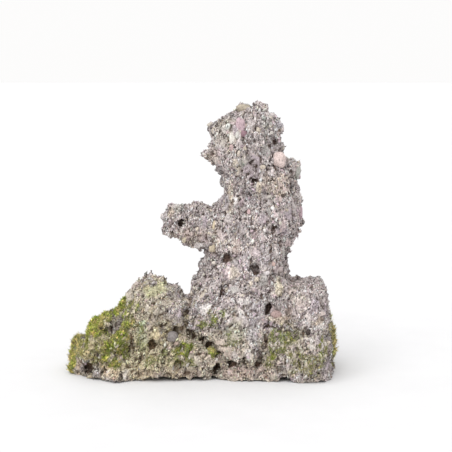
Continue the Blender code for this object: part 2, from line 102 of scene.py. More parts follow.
def chance(cells, salt):
    """A fair value from 0 to 1 for each whole-numbered cell, scrambled from its three indices and a salt."""
    mixed = (cells * HASH_STEPS).sum(-1) + salt * 2654435761 & LOW_BITS
    mixed = (mixed ^ mixed >> 15) * 2246822519 & LOW_BITS
    mixed = (mixed ^ mixed >> 13) * 3266489917 & LOW_BITS
    return (mixed ^ mixed >> 16) / LOW_BITS


def cloud(points, size, salt):
    """Soft noise from -1 to 1: the chances of the eight corners of a point's cell, blended by smooth steps."""
    place = points / size
    low = np.floor(place).astype(np.int64)
    share = place - low
    share = share * share * (3 - 2 * share)
    total = np.zeros(len(points))
    for corner in np.ndindex(2, 2, 2):
        weight = np.where(corner, share, 1 - share).prod(-1)
        total += weight * chance(low + corner, salt)
    return 2 * total - 1


def clods(points, size, salt):
    """Cells round one seed each: the distance to the nearest seed and to the next, in cells, and its own chance."""
    place = points / size
    low = np.floor(place).astype(np.int64)
    near, after, own = np.full(len(points), 9.0), np.full(len(points), 9.0), np.zeros(len(points))
    for step in np.ndindex(3, 3, 3):
        cell = low + step - 1
        seed = cell + np.stack([chance(cell, salt + i) for i in (1, 2, 3)], -1)
        gap = np.linalg.norm(seed - place, axis=-1)
        after = np.minimum(after, np.maximum(gap, near))
        own = np.where(gap < near, chance(cell, salt), own)
        near = np.minimum(near, gap)
    return near, after, own


def rise(low, high, values):
    """A smooth step from 0 at low to 1 at high."""
    share = np.clip((values - low) / (high - low), 0, 1)
    return share * share * (3 - 2 * share)


def relaxed(points, edges, rounds):
    """Points moved to the mean of their neighbours, several times, which leaves the broad form."""
    ends = np.concatenate([edges, edges[:, ::-1]])
    count = np.bincount(ends[:, 0], minlength=len(points))
    for _ in range(rounds):
        sums = [np.bincount(ends[:, 0], points[ends[:, 1], i], len(points)) for i in range(3)]
        points = np.stack(sums, -1) / count[:, None]
    return points


def write_points(mesh, points):
    mesh.vertices.foreach_set("co", (points * MM).astype(np.float32).ravel())
    mesh.update()


def write_values(mesh, name, values):
    mesh.attributes.new(name, "FLOAT", "POINT").data.foreach_set("value", values.astype(np.float32))


def write_colours(mesh, name, colours):
    rgba = np.concatenate([colours, np.ones((len(colours), 1))], -1).astype(np.float32)
    mesh.attributes.new(name, "FLOAT_COLOR", "POINT").data.foreach_set("color", rgba.ravel())


def wavering(points):
    """Points moved a little by noise, so that no cell or crack has a straight edge."""
    return points + 1.2 * np.stack([cloud(points, 5.0, 40 + i) for i in range(3)], -1)


def fan(points):
    """How far the stone's flow leans to the right for each millimetre upwards: nothing above, more at the lower left."""
    return FAN_LEAN * rise(60, 0, points[:, 0]) * (points[:, 2] < FAN_TOP)


def along_flow(points, stretch):
    """Points moved so that the flow stands upright, and drawn together along it by the stretch."""
    shift = fan(points) * np.minimum(points[:, 2] - FAN_TOP, 0)
    return (points - shift[:, None] * (1, 0, 0)) / (1, 1, stretch)


def gravel(points):
    """Cells of smooth gravel that weather has cut flush: the share of it at each point, and its own chance."""
    near, after, own = clods(along_flow(wavering(points), 1.5), CLAST_SIZE, 130)
    return rise(0.05, 0.25, after - near) * (own < CLAST_SHARE), own / CLAST_SHARE


def cracks(points):
    """Short upright cracks, from 0 to 1: where a stretched noise passes through nothing, in patches."""
    line = np.abs(cloud(along_flow(wavering(points), CRACK_STRETCH), CRACK_SIZE, 140))
    return rise(0.16, 0.04, line) * rise(-0.1, 0.35, cloud(points, 9.0, 141))


def relief(points, clast):
    """How far the stone stands out or in, in millimetres: long flutes, rounded clods, chips stepped by chance, cracks,
    pores and pinholes, with the gravel smooth between them."""
    bent = wavering(points)
    flow = along_flow(bent, FLOW_STRETCH)
    flutes = FLUTE_HEIGHT * cloud(along_flow(bent, FLUTE_STRETCH), FLUTE_SIZE, 50)
    near, after, _ = clods(flow, CLOD_SIZE, 10)
    rounded = CLOD_HEIGHT * (rise(0.0, 0.45, after - near) - 0.6)
    near, after, own = clods(flow, CHIP_SIZE, 20)
    stepped = CHIP_STEP * (own - 0.5) * rise(0.0, 0.2, after - near)
    pores = rise(0.5, 0.8, cloud(flow, PORE_SIZE, 30) + 0.35 * cloud(points, 24.0, 31))
    pinholes = rise(0.36, 0.7, cloud(flow, 2.1, 33))
    eaten = stepped - PORE_DEPTH * pores - PINHOLE_DEPTH * pinholes - CRACK_DEPTH * cracks(points)
    return flutes + rounded + (1 - 0.8 * clast) * eaten + CLAST_RISE * clast - SKIN_LOSS


# Where the stone is green, or bare again within green: centre x and height, half width and half height, how strongly,
# and the share of straw
GREEN_ZONES = [
    (-77, 64, 6, 8, 1.0, 0.15),
    (-84, 61, 10, 7, 1.0, 0.12),
    (-99, 53, 8, 6, 1.0, 0.2),
    (-100, 43, 8, 7, 0.6, 0.7),
    (-84, 57, 9, 5, 0.4, 0.5),
    (-80, 49, 6, 6, -1.0, 0.5),
    (-95, 51, 5, 4, 0.8, 0.95),
    (-102, 42, 6, 8, 0.4, 0.6),
    (-113, 41, 10, 5, 1.0, 0.6),
    (-122, 31, 7, 8, 0.9, 0.7),
    (-118, 22, 6, 9, 0.4, 0.7),
    (-124, 11, 8, 11, 1.0, 0.6),
    (-110, 32, 12, 9, 0.4, 0.7),
    (-73, 43, 6, 9, 1.0, 0.15),
    (-88, 28, 6, 11, 1.0, 0.1),
    (-76, 31, 10, 13, 1.0, 0.5),
    (-79, 17, 8, 5, 1.0, 0.2),
    (-70, 24, 5, 6, 0.8, 0.3),
    (-68, 51, 7, 9, 0.6, 0.3),
    (-61, 66, 3, 8, 1.0, 0.15),
    (-67, 62, 4, 7, 0.45, 0.4),
    (-95, 30, 13, 18, 0.45, 0.5),
    (-57, 40, 9, 14, 0.3, 0.3),
    (-50, 18, 9, 5, 0.4, 0.3),
    (-18.5, 28.5, 7.5, 9, 1.0, 0.1),
    (-30, 24, 12, 7, 0.4, 0.4),
    (-14, 17, 12, 5, 0.35, 0.4),
    (7.5, 24, 5, 5, 0.8, 0.35),
    (12.5, 52, 4, 9, 0.45, 0.15),
    (17, 60, 4, 7, 0.4, 0.15),
    (-3, 49, 5, 6, 0.45, 0.3),
    (5, 56, 10, 10, 0.35, 0.3),
    (27, 36, 8, 10, 0.2, 0.3),
    (70, 36, 15, 16, 0.32, 0.2),
    (75.5, 42, 4, 8, 0.25, 0.05),
    (83, 43, 4, 5, 0.3, 0.05),
    (64, 27, 5, 8, 0.15, 0.2),
    (66, 47, 8, 3, 0.2, 0.2),
    (60, 18, 6, 8, 0.35, 0.7),
    (105, 31, 5, 11, 0.5, 0.35),
    (92, 20, 20, 16, 0.3, 0.7),
    (117, 44, 6, 12, 0.2, 0.8),
    (121, 24, 7, 20, 0.3, 0.8),
]

# Stains, lichens and bands of other sand on the show face, and patches of painted shade in a recess, under a ledge,
# beside
# the tongue and on the head: x, height, half width, half height, how strong, how much of the grain it smooths over, and
# colour
STAINS_AND_PAINTED_SHADE = [
    (-10, 18, 140, 44, 0.42, 0.0, (164, 152, 122)),
    (-66, 42, 62, 56, 0.42, 0.0, (168, 157, 118)),
    (-98, 32, 20, 24, 0.4, 0.0, (158, 146, 108)),
    # Painted shade: the next two rows darken the recess between the shoulder's moss and the face patch
    (-80, 47, 7, 8, 0.6, 0.2, (112, 104, 108)),
    (-75, 53, 3, 5, 0.6, 0.0, (92, 84, 88)),
    (-44, 81, 11, 5.8, 0.95, 0.95, (176, 172, 142)),
    (-41, 81, 7, 4.5, 0.9, 0.95, (182, 178, 148)),
    (-52.5, 84, 4.5, 3.2, 0.7, 0.7, (168, 158, 124)),
    (-31, 83, 6, 6, 0.4, 0.3, (168, 164, 144)),
    (-54, 92, 8, 5, 0.4, 0.0, (138, 134, 130)),
    (97.5, 95, 11, 5.5, 0.9, 0.9, (196, 190, 152)),
    (92, 72, 24, 22, 0.3, 0.45, (180, 168, 164)),
    (92, 34, 26, 22, 0.3, 0.0, (178, 168, 148)),
    (40, 120, 34, 52, 0.2, 0.0, (192, 181, 178)),
    (84, 76, 9, 6, 0.3, 0.4, (186, 176, 160)),
    (100, 70, 8, 8, 0.4, 0.5, (180, 166, 178)),
    (92, 62, 12, 9, 0.3, 0.2, (192, 182, 178)),
    (107, 51, 7, 5, 0.7, 0.7, (210, 204, 200)),
    (103, 55, 7, 3, 0.5, 0.6, (196, 174, 152)),
    (94, 40, 6, 3.5, 0.6, 0.6, (210, 204, 202)),
    (68, 56, 11, 5, 0.5, 0.4, (184, 168, 146)),
    # Painted shadow under the ledge of the right block
    (77, 64, 4, 7, 0.5, 0.2, (120, 98, 84)),
    (68.5, 82, 3.8, 10, 0.9, 0.95, (198, 188, 168)),
    (48, 62, 8, 16, 0.4, 0.4, (175, 170, 174)),
    (45, 42, 7, 14, 0.6, 0.5, (174, 169, 172)),
    (29, 24, 5, 8, 0.6, 0.5, (178, 172, 170)),
    (40, 26, 4, 7, 0.6, 0.5, (178, 172, 173)),
    # Painted shade on the shadowed side of the tongue
    (49, 26, 5, 6, 0.5, 0.2, (124, 112, 118)),
    (56, 50, 4, 8, 0.5, 0.3, (140, 124, 132)),
    (27, 42, 10, 12, 0.4, 0.1, (166, 166, 150)),
    (40, 9, 26, 8, 0.5, 0.0, (158, 138, 132)),
    (-82, 8, 9, 8, 0.8, 0.7, (180, 162, 140)),
    (-116, 10, 6, 8, 0.6, 0.4, (190, 172, 150)),
    (-117, 26, 7, 8, 0.6, 0.0, (104, 88, 64)),
    (-108, 24, 10, 9, 0.4, 0.2, (176, 160, 128)),
    (-43, 43.5, 8, 6, 0.6, 0.5, (190, 174, 140)),
    (-34, 62, 14, 12, 0.4, 0.3, (166, 156, 148)),
    (-30, 7, 44, 6, 0.4, 0.0, (162, 144, 130)),
    (-38, 47, 3, 5, 0.5, 0.0, (104, 98, 104)),
    (-54.5, 53, 3.8, 3.2, 0.95, 0.7, (216, 224, 196)),
    (-55, 42, 6, 10, 0.4, 0.2, (168, 176, 150)),
    (-70, 68, 2.6, 7, 0.6, 0.5, (200, 192, 182)),
    (-62, 70, 3, 7, 0.4, 0.5, (200, 188, 164)),
    (22, 98, 4, 12, 0.6, 0.8, (204, 188, 188)),
    (30, 120, 5, 9, 0.4, 0.5, (194, 176, 164)),
    (35, 106, 7, 9, 0.3, 0.5, (188, 180, 184)),
    (40, 150, 6, 4, 0.3, 0.4, (168, 166, 164)),
    (47, 130, 3, 8, 0.35, 0.5, (172, 150, 152)),
    (34, 136, 5, 8, 0.3, 0.6, (192, 182, 184)),
    (72, 134, 6, 4, 0.4, 0.4, (158, 146, 158)),
    (54, 112, 10, 12, 0.25, 0.4, (186, 180, 186)),
    # Painted shade in a dark place on the head
    (41, 205, 3.4, 4.5, 0.5, 0.0, (96, 84, 84)),
    (46, 190, 16, 10, 0.35, 0.0, (122, 112, 110)),
    (60, 208, 9, 12, 0.3, 0.0, (128, 120, 120)),
    (40, 168, 8, 9, 0.35, 0.0, (120, 114, 118)),
    (66, 176, 16, 12, 0.35, 0.0, (178, 160, 140)),
    (20, 222, 12, 16, 0.3, 0.0, (172, 164, 144)),
    (8, 200, 8, 10, 0.35, 0.0, (170, 154, 136)),
    (56, 228, 4, 12, 0.35, 0.3, (142, 146, 140)),
    (69, 230, 4, 4, 0.5, 0.4, (160, 158, 164)),
    (37.5, 199, 3.0, 6.0, 0.5, 0.7, (178, 173, 164)),
    (34.5, 195, 2.8, 3.4, 0.5, 0.7, (168, 168, 156)),
    (-14, 128, 20, 10, 0.35, 0.0, (164, 148, 130)),
    (-31, 150, 4, 5, 0.5, 0.5, (190, 174, 150)),
    (-24, 154, 5, 6, 0.4, 0.5, (176, 178, 164)),
    (12, 130, 7, 14, 0.3, 0.2, (190, 176, 156)),
    (25, 165, 3, 18, 0.4, 0.3, (196, 182, 160)),
    (51, 172, 2.4, 9, 0.6, 0.6, (208, 194, 168)),
    (19, 160, 5, 6, 0.4, 0.3, (138, 132, 142)),
    (34.5, 161, 2.6, 5.5, 0.6, 0.7, (186, 164, 168)),
]

def patchwork(points, zones):
    """The share of each zone at each point: full in its middle, ragged by noise, and nothing past its edge."""
    ragged = 0.35 * cloud(points, 8.0, 71) + 0.25 * cloud(points, 3.5, 72)
    table = np.array([row[:4] for row in zones])
    away = (points[:, None, ::2] - table[:, :2]) / table[:, 2:]
    return 1 - rise(0.5, 1.1, np.linalg.norm(away, axis=-1) + ragged[:, None])


def on_show_face(points, zones):
    """The share of each zone at each point of the show face, and nothing behind it."""
    return patchwork(points, zones) * (1 - rise(-12, 8, points[:, 1]))[:, None]


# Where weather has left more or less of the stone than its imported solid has: x, height, half width, half height, and
# how far it stands out or in
SWELLS = [
    (-19, 156, 10, 9, 5.6),
    (-38, 153, 6, 9, -4.5),
    (-23.5, 123, 8, 5, -4.0),
    (4, 158, 5, 4, 2.0),
    (16, 163, 5, 5, 1.2),
    (77, 205, 7, 8, -7.5),
    (72, 222, 5, 12, 0.5),
    (86, 129, 8, 8, -4.5),
    (82, 105, 8, 10, -4.0),
    (97, 87, 20, 8, -2.0),
    (83, 89, 6, 5, -5.0),
    (110, 77, 7, 10, 4.8),
    (117, 56, 7, 10, -2.0),
    (121, 55, 8, 13, -1.0),
    (125, 12, 9, 13, -2.0),
    (-56, 94, 7, 6, -4.5),
    (-66, 80, 9, 9, 5.2),
    (-31.5, 84.5, 5, 4, -2.5),
    (-21.5, 79, 5, 4, 1.0),
    (-7, 84, 6, 13, 1.5),
    (-7, 93, 7, 8, -4.6),
    (3, 222, 7, 18, 1.5),
    (0, 206, 7, 8, 2.0),
    (5, 213, 5, 6, 2.0),
    (14.5, 186, 4, 5, 2.5),
    (0, 107, 5, 7, -0.8),
    (14, 238, 14, 6, -1.5),
    (50, 251, 6, 5, 2.0),
    (61, 244, 4, 4, -1.0),
    (7, 232, 7, 7, -2.5),
    (72, 232, 7, 14, -1.5),
    (-114, 34, 8, 6, -8.5),
    (-119.5, 28, 5, 4, 4.5),
    (-99, 38, 7, 6, 6.0),
    (-104.5, 47.5, 6, 5, -8.0),
    (-98, 56, 7, 7, -5.5),
    (-123, 5, 9, 8, 6.6),
    (-80, 47, 7, 8, -2.0),
    (-89, 53, 5, 5, 2.5),
]

# Crevices and ragged holes of the show face: x, height, half width, half height, lean in degrees, and depth
HOLES = [
    (35, 242.5, 1.1, 1.3, 0, 2.4), (66, 216, 1.3, 3.4, -18, 3.4), (37, 215.5, 1.0, 3.0, 0, 2.4), (29, 211.5, 1.0, 1.7, -20, 2.2),
    (33.6, 203.5, 0.8, 2.0, 0, 2.0), (55, 221, 1.8, 0.9, 0, 1.8), (51.7, 200.2, 1.2, 1.4, 0, 2.2), (52.5, 197, 1.0, 2.4, 0, 2.6),
    (60, 197, 1.2, 1.8, 0, 2.4), (58, 193.7, 1.6, 1.1, -20, 2.6), (47, 193.5, 1.4, 1.9, 40, 1.8), (39, 191, 1.0, 1.0, 0, 1.6),
    (43.5, 181.5, 1.3, 1.6, 0, 2.2), (47.5, 180.2, 2.0, 2.0, 0, 2.6), (76.6, 185, 1.7, 1.2, -15, 2.4), (81, 185, 1.4, 3.6, -10, 3.0),
    (82, 179, 1.0, 2.2, -10, 2.2), (74.3, 191.8, 1.1, 1.7, 0, 2.2), (19.5, 176, 1.5, 2.3, -25, 2.2), (15, 183, 1.2, 1.5, -20, 1.6),
    (26.3, 161, 1.0, 4.8, 0, 2.2), (26.4, 168.7, 1.2, 0.9, 0, 1.6), (56.2, 161, 1.0, 2.4, -10, 2.4), (60.5, 158.5, 0.9, 2.6, 0, 1.6),
    (47.5, 157.4, 2.3, 0.9, 0, 1.8), (74.3, 160, 1.1, 1.3, -20, 2.0), (31.4, 154.7, 2.0, 1.0, 25, 2.0), (39, 151.5, 0.9, 2.3, 0, 2.2),
    (51.3, 140.9, 1.4, 1.1, 0, 2.2), (29, 138.6, 1.4, 1.1, 20, 2.0), (63.5, 137.3, 1.8, 2.4, 0, 2.4), (60, 136, 1.5, 1.7, 0, 2.0),
    (45, 136, 1.0, 1.7, -15, 1.9), (41.8, 127.6, 1.0, 1.2, 0, 1.9), (11, 133.6, 1.2, 3.1, 0, 2.4), (56.7, 124, 1.1, 0.9, 0, 1.6),
    (22.3, 120.7, 2.3, 1.0, 0, 1.8), (3.8, 118, 1.5, 2.3, -15, 2.6), (9.2, 112, 1.7, 1.1, 0, 2.0), (14.2, 114.3, 1.0, 1.7, -20, 2.0),
    (21.4, 110, 3.4, 3.8, 0, 3.0), (33.8, 113.4, 0.9, 2.8, 22, 2.2), (30, 109.3, 1.7, 2.6, 25, 1.4), (45, 98.5, 3.4, 1.2, 35, 1.6),
    (10.5, 98.5, 3.0, 1.5, 10, 2.2), (14, 95.5, 1.7, 1.7, 0, 2.0), (5.1, 92.3, 1.4, 1.8, -20, 2.4), (22.6, 92.3, 0.9, 1.5, 0, 2.0),
    (21, 86, 1.1, 3.8, 10, 2.6), (24.1, 87.7, 1.6, 0.9, 0, 1.8), (16.6, 79.6, 1.4, 5.6, 8, 3.2), (33.5, 90, 3.0, 0.8, 15, 1.4),
    (41.3, 82.6, 1.1, 1.0, 0, 1.6), (43.1, 73.9, 1.1, 1.1, 0, 2.2), (47.6, 73, 1.9, 1.2, 10, 2.2), (53.1, 77.1, 1.0, 2.3, -15, 2.0),
    (51.8, 66.6, 1.0, 1.8, 0, 1.9), (48.1, 58.8, 0.9, 1.9, -15, 1.9), (82, 83.3, 1.6, 2.1, -15, 2.6), (72, 100, 0.9, 1.7, -10, 1.9),
    (66.7, 106, 1.1, 1.9, 0, 1.9), (58.8, 64, 2.0, 4.4, 16, 5.0), (68.4, 61.7, 1.7, 1.1, 15, 2.4), (77, 62.5, 5.0, 1.6, 0, 2.0),
    (76, 68, 1.6, 4.2, 0, 1.6), (70.5, 50.8, 1.4, 1.0, 0, 2.2), (62, 48.6, 7.5, 1.0, 3, 3.0), (77.5, 47.5, 5.0, 1.0, -22, 3.0),
    (64.4, 43.5, 1.1, 2.5, 0, 1.8), (54.2, 39, 1.0, 2.8, 0, 1.8), (50.5, 28, 1.7, 3.6, 20, 2.2), (35, 37.8, 1.2, 1.9, 15, 2.2),
    (42.2, 32.5, 1.0, 1.7, 15, 2.2), (38.2, 50.5, 1.0, 3.0, 10, 1.7), (-47, 33.5, 3.0, 3.8, -15, 3.6), (-40, 32.5, 4.2, 1.0, 0, 2.0),
    (-31.5, 44, 2.6, 1.0, -25, 2.4), (-24.3, 43, 1.9, 4.0, -20, 4.4), (-19.5, 45, 1.7, 2.6, 0, 2.4), (-16.7, 45.8, 0.9, 1.7, -10, 2.2),
    (-13.4, 51.2, 1.7, 1.1, 0, 2.0), (-12.6, 42, 2.4, 2.0, 10, 5.5), (-9.5, 38.6, 2.2, 1.7, 20, 2.4), (-6.6, 44.2, 1.0, 1.1, 0, 2.0),
    (-3, 36, 2.2, 2.2, 0, 5.5), (2, 38.8, 3.4, 1.2, 5, 2.4), (5.2, 31.2, 1.8, 2.0, 30, 4.5), (11, 30.8, 5.0, 1.1, 6, 2.4),
    (12.8, 23, 1.8, 1.7, 0, 5.0), (16.4, 24.6, 1.8, 1.3, 0, 4.6), (7.8, 49, 1.1, 1.6, 0, 2.6), (11, 9.8, 2.1, 4.4, 14, 4.6),
    (6.8, 6.8, 1.7, 2.1, 0, 2.2), (-14.5, 7, 2.3, 2.7, 20, 2.8), (37, 7.3, 1.4, 1.1, 0, 2.6), (24.5, 15.5, 4.6, 2.0, 5, 2.6),
    (34.5, 16.8, 4.0, 1.7, -10, 3.2), (36.6, 21.5, 1.5, 2.6, 0, 3.2), (-33.6, 53, 1.2, 4.0, 0, 2.2), (73, 6.5, 3.4, 1.3, 0, 1.9),
    (54.7, 8.3, 1.1, 2.1, 0, 1.8), (101.8, 23, 1.3, 3.4, 0, 2.2), (95.6, 28.6, 1.9, 2.2, 0, 1.8), (90, 32, 2.8, 1.1, 0, 2.0),
    (99.6, 47, 1.4, 1.1, 0, 2.4), (115.5, 35.8, 1.1, 2.6, 0, 1.8), (60, 14, 1.1, 4.2, 15, 2.0), (-106.8, 8.4, 5.6, 5.0, 0, 6.0),
    (-113.3, 12.6, 1.0, 3.4, 0, 2.2), (-95.8, 14, 1.3, 4.6, 0, 3.2), (-90.8, 17, 1.2, 1.9, -20, 2.6), (-90, 10.8, 0.9, 3.0, 0, 2.2),
    (-68.2, 14, 1.3, 2.3, -30, 2.2), (-65, 34, 1.3, 8.5, 0, 3.2), (-74.5, 53.8, 1.1, 3.0, 0, 2.4), (-83, 42.5, 2.0, 1.3, 20, 2.0),
    (-84.8, 48, 1.1, 2.2, 0, 2.0), (-105.8, 30, 0.9, 2.6, 0, 2.0), (-118, 24, 2.4, 3.0, 0, 2.6), (-57, 61, 1.0, 2.1, 0, 2.0),
    (-45.5, 72, 2.4, 1.1, 0, 2.0), (-41.5, 79, 1.5, 1.1, 20, 1.8), (-48, 80, 1.0, 1.5, 0, 1.6), (-17.5, 76, 3.4, 3.0, -20, 4.0),
    (-13.4, 69.4, 1.9, 5.4, 15, 3.2), (-40, 92.6, 1.8, 0.9, 10, 1.6), (-34, 90, 1.3, 1.6, 0, 1.8), (-26, 80, 1.5, 1.1, 0, 1.8),
    (7.5, 66.5, 0.9, 1.2, 0, 1.8), (2.3, 74, 1.1, 1.3, 20, 1.6), (-10.5, 58, 0.9, 1.2, 0, 1.8), (-20.7, 139.6, 2.4, 3.8, 0, 2.4),
    (-17, 142.6, 3.6, 2.0, 0, 2.0), (-12.7, 134.5, 1.0, 1.7, -10, 2.0), (-14.8, 129, 1.7, 1.4, 0, 3.0), (-17, 126.7, 1.1, 1.5, 30, 1.8),
    (-28, 130.5, 1.1, 3.2, -15, 2.0), (-15.7, 148.3, 1.1, 1.5, 0, 2.2), (-0.3, 149.6, 1.8, 1.1, 0, 2.0), (-5.3, 150, 1.5, 1.5, 0, 1.8),
    (-4.8, 156.4, 1.1, 1.3, 0, 1.8), (-11.6, 140.3, 0.9, 1.3, 0, 1.8), (-6.2, 137.6, 1.3, 0.9, 0, 1.8), (-0.3, 122, 1.3, 1.3, 0, 2.4),
    (-11, 123.4, 1.1, 1.7, -15, 2.0), (22.6, 155.4, 0.9, 1.0, 0, 1.5), (-26.5, 151.5, 1.3, 1.0, 30, 1.5),
]


def holes(points):
    """How deep the crevices and holes cut in at each point of the show face, with ragged edges."""
    table = np.array(HOLES, float)
    lean = np.radians(table[:, 4])
    ragged = np.stack([cloud(points, 3.4, 76 + i) + 0.7 * cloud(points, 1.7, 86 + i) for i in range(3)], -1)
    bent = (points + RAGGEDNESS * ragged)[:, None, ::2] - table[:, :2]
    across = bent[..., 0] * np.cos(lean) - bent[..., 1] * np.sin(lean)
    along = bent[..., 0] * np.sin(lean) + bent[..., 1] * np.cos(lean)
    away = np.hypot(across / table[:, 2], along / table[:, 3])
    return ((1 - rise(0.6, 1.3, away)) * table[:, 5]).max(-1) * (1 - rise(-8, 0, points[:, 1]))


# Gaps between the front of the foot and what it stands on: centre x, half width and height
BASE_GAPS = [
    (-95, 6, 2.0),
    (-77, 7, 1.6),
    (-38, 5, 4.6),
    (-30, 4, 4.2),
    (-18, 4, 4.2),
    (-5, 7, 4.4),
    (9, 4, 3.4),
    (46, 14, 1.8),
    (73, 6, 5.0),
    (107, 3, 2.4),
]


def under_gap(points):
    """How high the underside stands at each point: nothing, or the height of a gap with a ragged edge."""
    middle, half, height = np.array(BASE_GAPS).T
    ragged = 0.25 * cloud(points * (1, 1, 0), 5.0, 77)
    away = np.abs(points[:, :1] - middle) / half + ragged[:, None]
    return ((1 - rise(0.7, 1.1, away)) * height).max(-1) * (1 - rise(-30, -10, points[:, 1]))


def greenness(points):
    """How far moss covers the stone at each point, and how dry it is."""
    shares = patchwork(points, GREEN_ZONES) * [row[4] for row in GREEN_ZONES]
    dry = (np.abs(shares) * [row[5] for row in GREEN_ZONES]).sum(-1) / np.maximum(np.abs(shares).sum(-1), 0.001)
    return np.clip(shares.sum(-1), 0, 1), dry


# Pebbles of the show face: x, height, half width, half height, lean in degrees, squareness, share that shows, colour
SET_PEBBLES = [
    (68.6, 198.8, 6.2, 7.6, 0, 2.3, 0.5, (208, 191, 186)),
    (33.5, 230.5, 4.2, 6.4, 0, 3.0, 0.22, (186, 164, 170)),
    (36.5, 222.6, 2.8, 3.0, 0, 2.8, 0.2, (146, 118, 126)),
    (26.2, 219.2, 2.7, 5.8, 8, 2.2, 0.36, (226, 222, 214)),
    (30.6, 222.0, 1.8, 3.6, 0, 2.4, 0.2, (198, 196, 190)),
    (36.0, 244.5, 6.6, 3.6, 0, 2.2, 0.3, (176, 167, 150)),
    (86.5, 187.0, 2.4, 7.0, 0, 2.4, 0.2, (158, 158, 152)),
    (25.5, 209.5, 2.0, 3.4, 0, 2.4, 0.3, (186, 164, 162)),
    (32.0, 204.6, 1.5, 3.2, 10, 2.0, 0.3, (202, 192, 180)),
    (53.6, 192.5, 2.6, 2.0, 0, 2.6, 0.3, (196, 186, 172)),
    (50.0, 226.5, 2.2, 2.4, 0, 3.0, 0.15, (196, 186, 172)),
    (-28.5, 39.5, 4.8, 5.6, 20, 2.4, 0.22, (140, 134, 132)),
    (66.5, 59.5, 5.6, 3.4, 14, 2.6, 0.3, (170, 148, 144)),
    (-17.8, 126.0, 1.8, 4.0, 12, 2.4, 0.5, (208, 198, 176)),
    (9.4, 138.5, 1.2, 4.6, 6, 2.2, 0.4, (206, 192, 166)),
    (89.0, 148.0, 2.4, 6.8, 0, 2.6, 0.25, (172, 152, 158)),
    (7.8, 117.5, 3.0, 3.8, 0, 2.8, 0.15, (190, 178, 156)),
    (9.6, 104.4, 2.2, 1.5, 0, 2.4, 0.4, (226, 218, 208)),
    (62.8, 155.5, 1.9, 1.9, 0, 2.2, 0.5, (228, 226, 224)),
    (55.6, 135.0, 1.5, 1.9, 0, 2.2, 0.5, (226, 222, 220)),
    (41.2, 151.8, 1.6, 2.2, 0, 2.8, 0.4, (208, 180, 180)),
    (57.0, 96.0, 3.4, 2.0, -20, 2.6, 0.2, (204, 198, 198)),
    (69.6, 98.2, 3.0, 3.2, 0, 2.6, 0.3, (190, 178, 176)),
    (64.0, 104.6, 1.6, 2.4, 0, 2.6, 0.3, (196, 172, 164)),
    (60.5, 166.0, 4.2, 1.5, -24, 2.6, 0.25, (184, 178, 172)),
    (49.0, 174.5, 1.4, 4.6, 6, 2.2, 0.2, (188, 178, 164)),
    (105.0, 61.5, 5.0, 1.9, -12, 2.6, 0.2, (202, 190, 184)),
    (68.5, 78.6, 1.7, 2.4, 0, 2.6, 0.3, (224, 216, 200)),
]


GREEN_FILM, STRAW_FILM = np.array((0.60, 0.74, 0.30)), np.array((0.98, 0.93, 0.52))  # what growth leaves of a colour


def patchy(points):
    """Where small growth has taken hold, from 0 to 1, in patches of a few millimetres."""
    return rise(-0.4, 0.3, cloud(points, 6.0, 73) + 0.5 * cloud(points, 2.6, 74))


def pebble_reach(points):
    """How far each point of the show face is from the nearest set pebble's middle, in half sizes of that pebble."""
    table = np.array([row[:4] for row in SET_PEBBLES])
    away = np.linalg.norm((points[:, None, ::2] - table[:, :2]) / table[:, 2:], axis=-1).min(-1)
    return np.where(points[:, 1] < 0, away, np.inf)


def linear(red, green, blue):
    """A colour as the eye reads it, in 0 to 255, as light."""
    share = np.array([red, green, blue]) / 255
    return tuple(np.where(share > 0.04045, ((share + 0.055) / 1.055) ** 2.4, share / 12.92))


def stained_and_shaded(points, plain):
    """Colours with the stains and patches of painted shade laid over them in turn by their shares, on the show face
    alone.
    """
    for share, (*_, strength, _, colour) in zip(on_show_face(points, STAINS_AND_PAINTED_SHADE).T, STAINS_AND_PAINTED_SHADE):
        plain = plain + (strength * share)[:, None] * (np.array(linear(*colour)) - plain)
    return plain


stone = copy_of("rock", "stone_skin")
regrid(stone, SKIN_VOXEL, 1)
edges = read(stone.data.edges, "vertices", 2, int)
skin = read(stone.data.vertices, "co", 3) / MM
out = read(stone.data.vertex_normals, "vector", 3)
smooth = relaxed(skin, edges, BROAD_ROUNDS)
cut_in = np.clip(((smooth - skin) * out).sum(-1), 0, 4)
skin += (FILLING * rise(0.2, 0.9, cut_in))[:, None] * (smooth - skin)
clast, kind = gravel(skin)
smoothed = (on_show_face(skin, STAINS_AND_PAINTED_SHADE) * [row[5] for row in STAINS_AND_PAINTED_SHADE]).max(-1)
clast = np.maximum(clast, smoothed)
from_pebble = pebble_reach(skin)
groove = PEBBLE_GROOVE * rise(1.5, 1.15, from_pebble)
swell = (patchwork(skin, SWELLS) * [row[4] for row in SWELLS]).sum(-1)
depth = holes(skin) * rise(0.95, 1.1, from_pebble)
lift = relief(skin, clast) - groove - depth
skin += swell[:, None] * out
skin += rise(1.2, 4.0, np.abs(swell))[:, None] * (relaxed(skin, edges, BROAD_ROUNDS) - skin)
write_points(stone.data, skin)
skin += lift[:, None] * read(stone.data.vertex_normals, "vector", 3)
skin[:, 2] = np.maximum(skin[:, 2], under_gap(skin))
write_points(stone.data, skin)
out = read(stone.data.vertex_normals, "vector", 3)
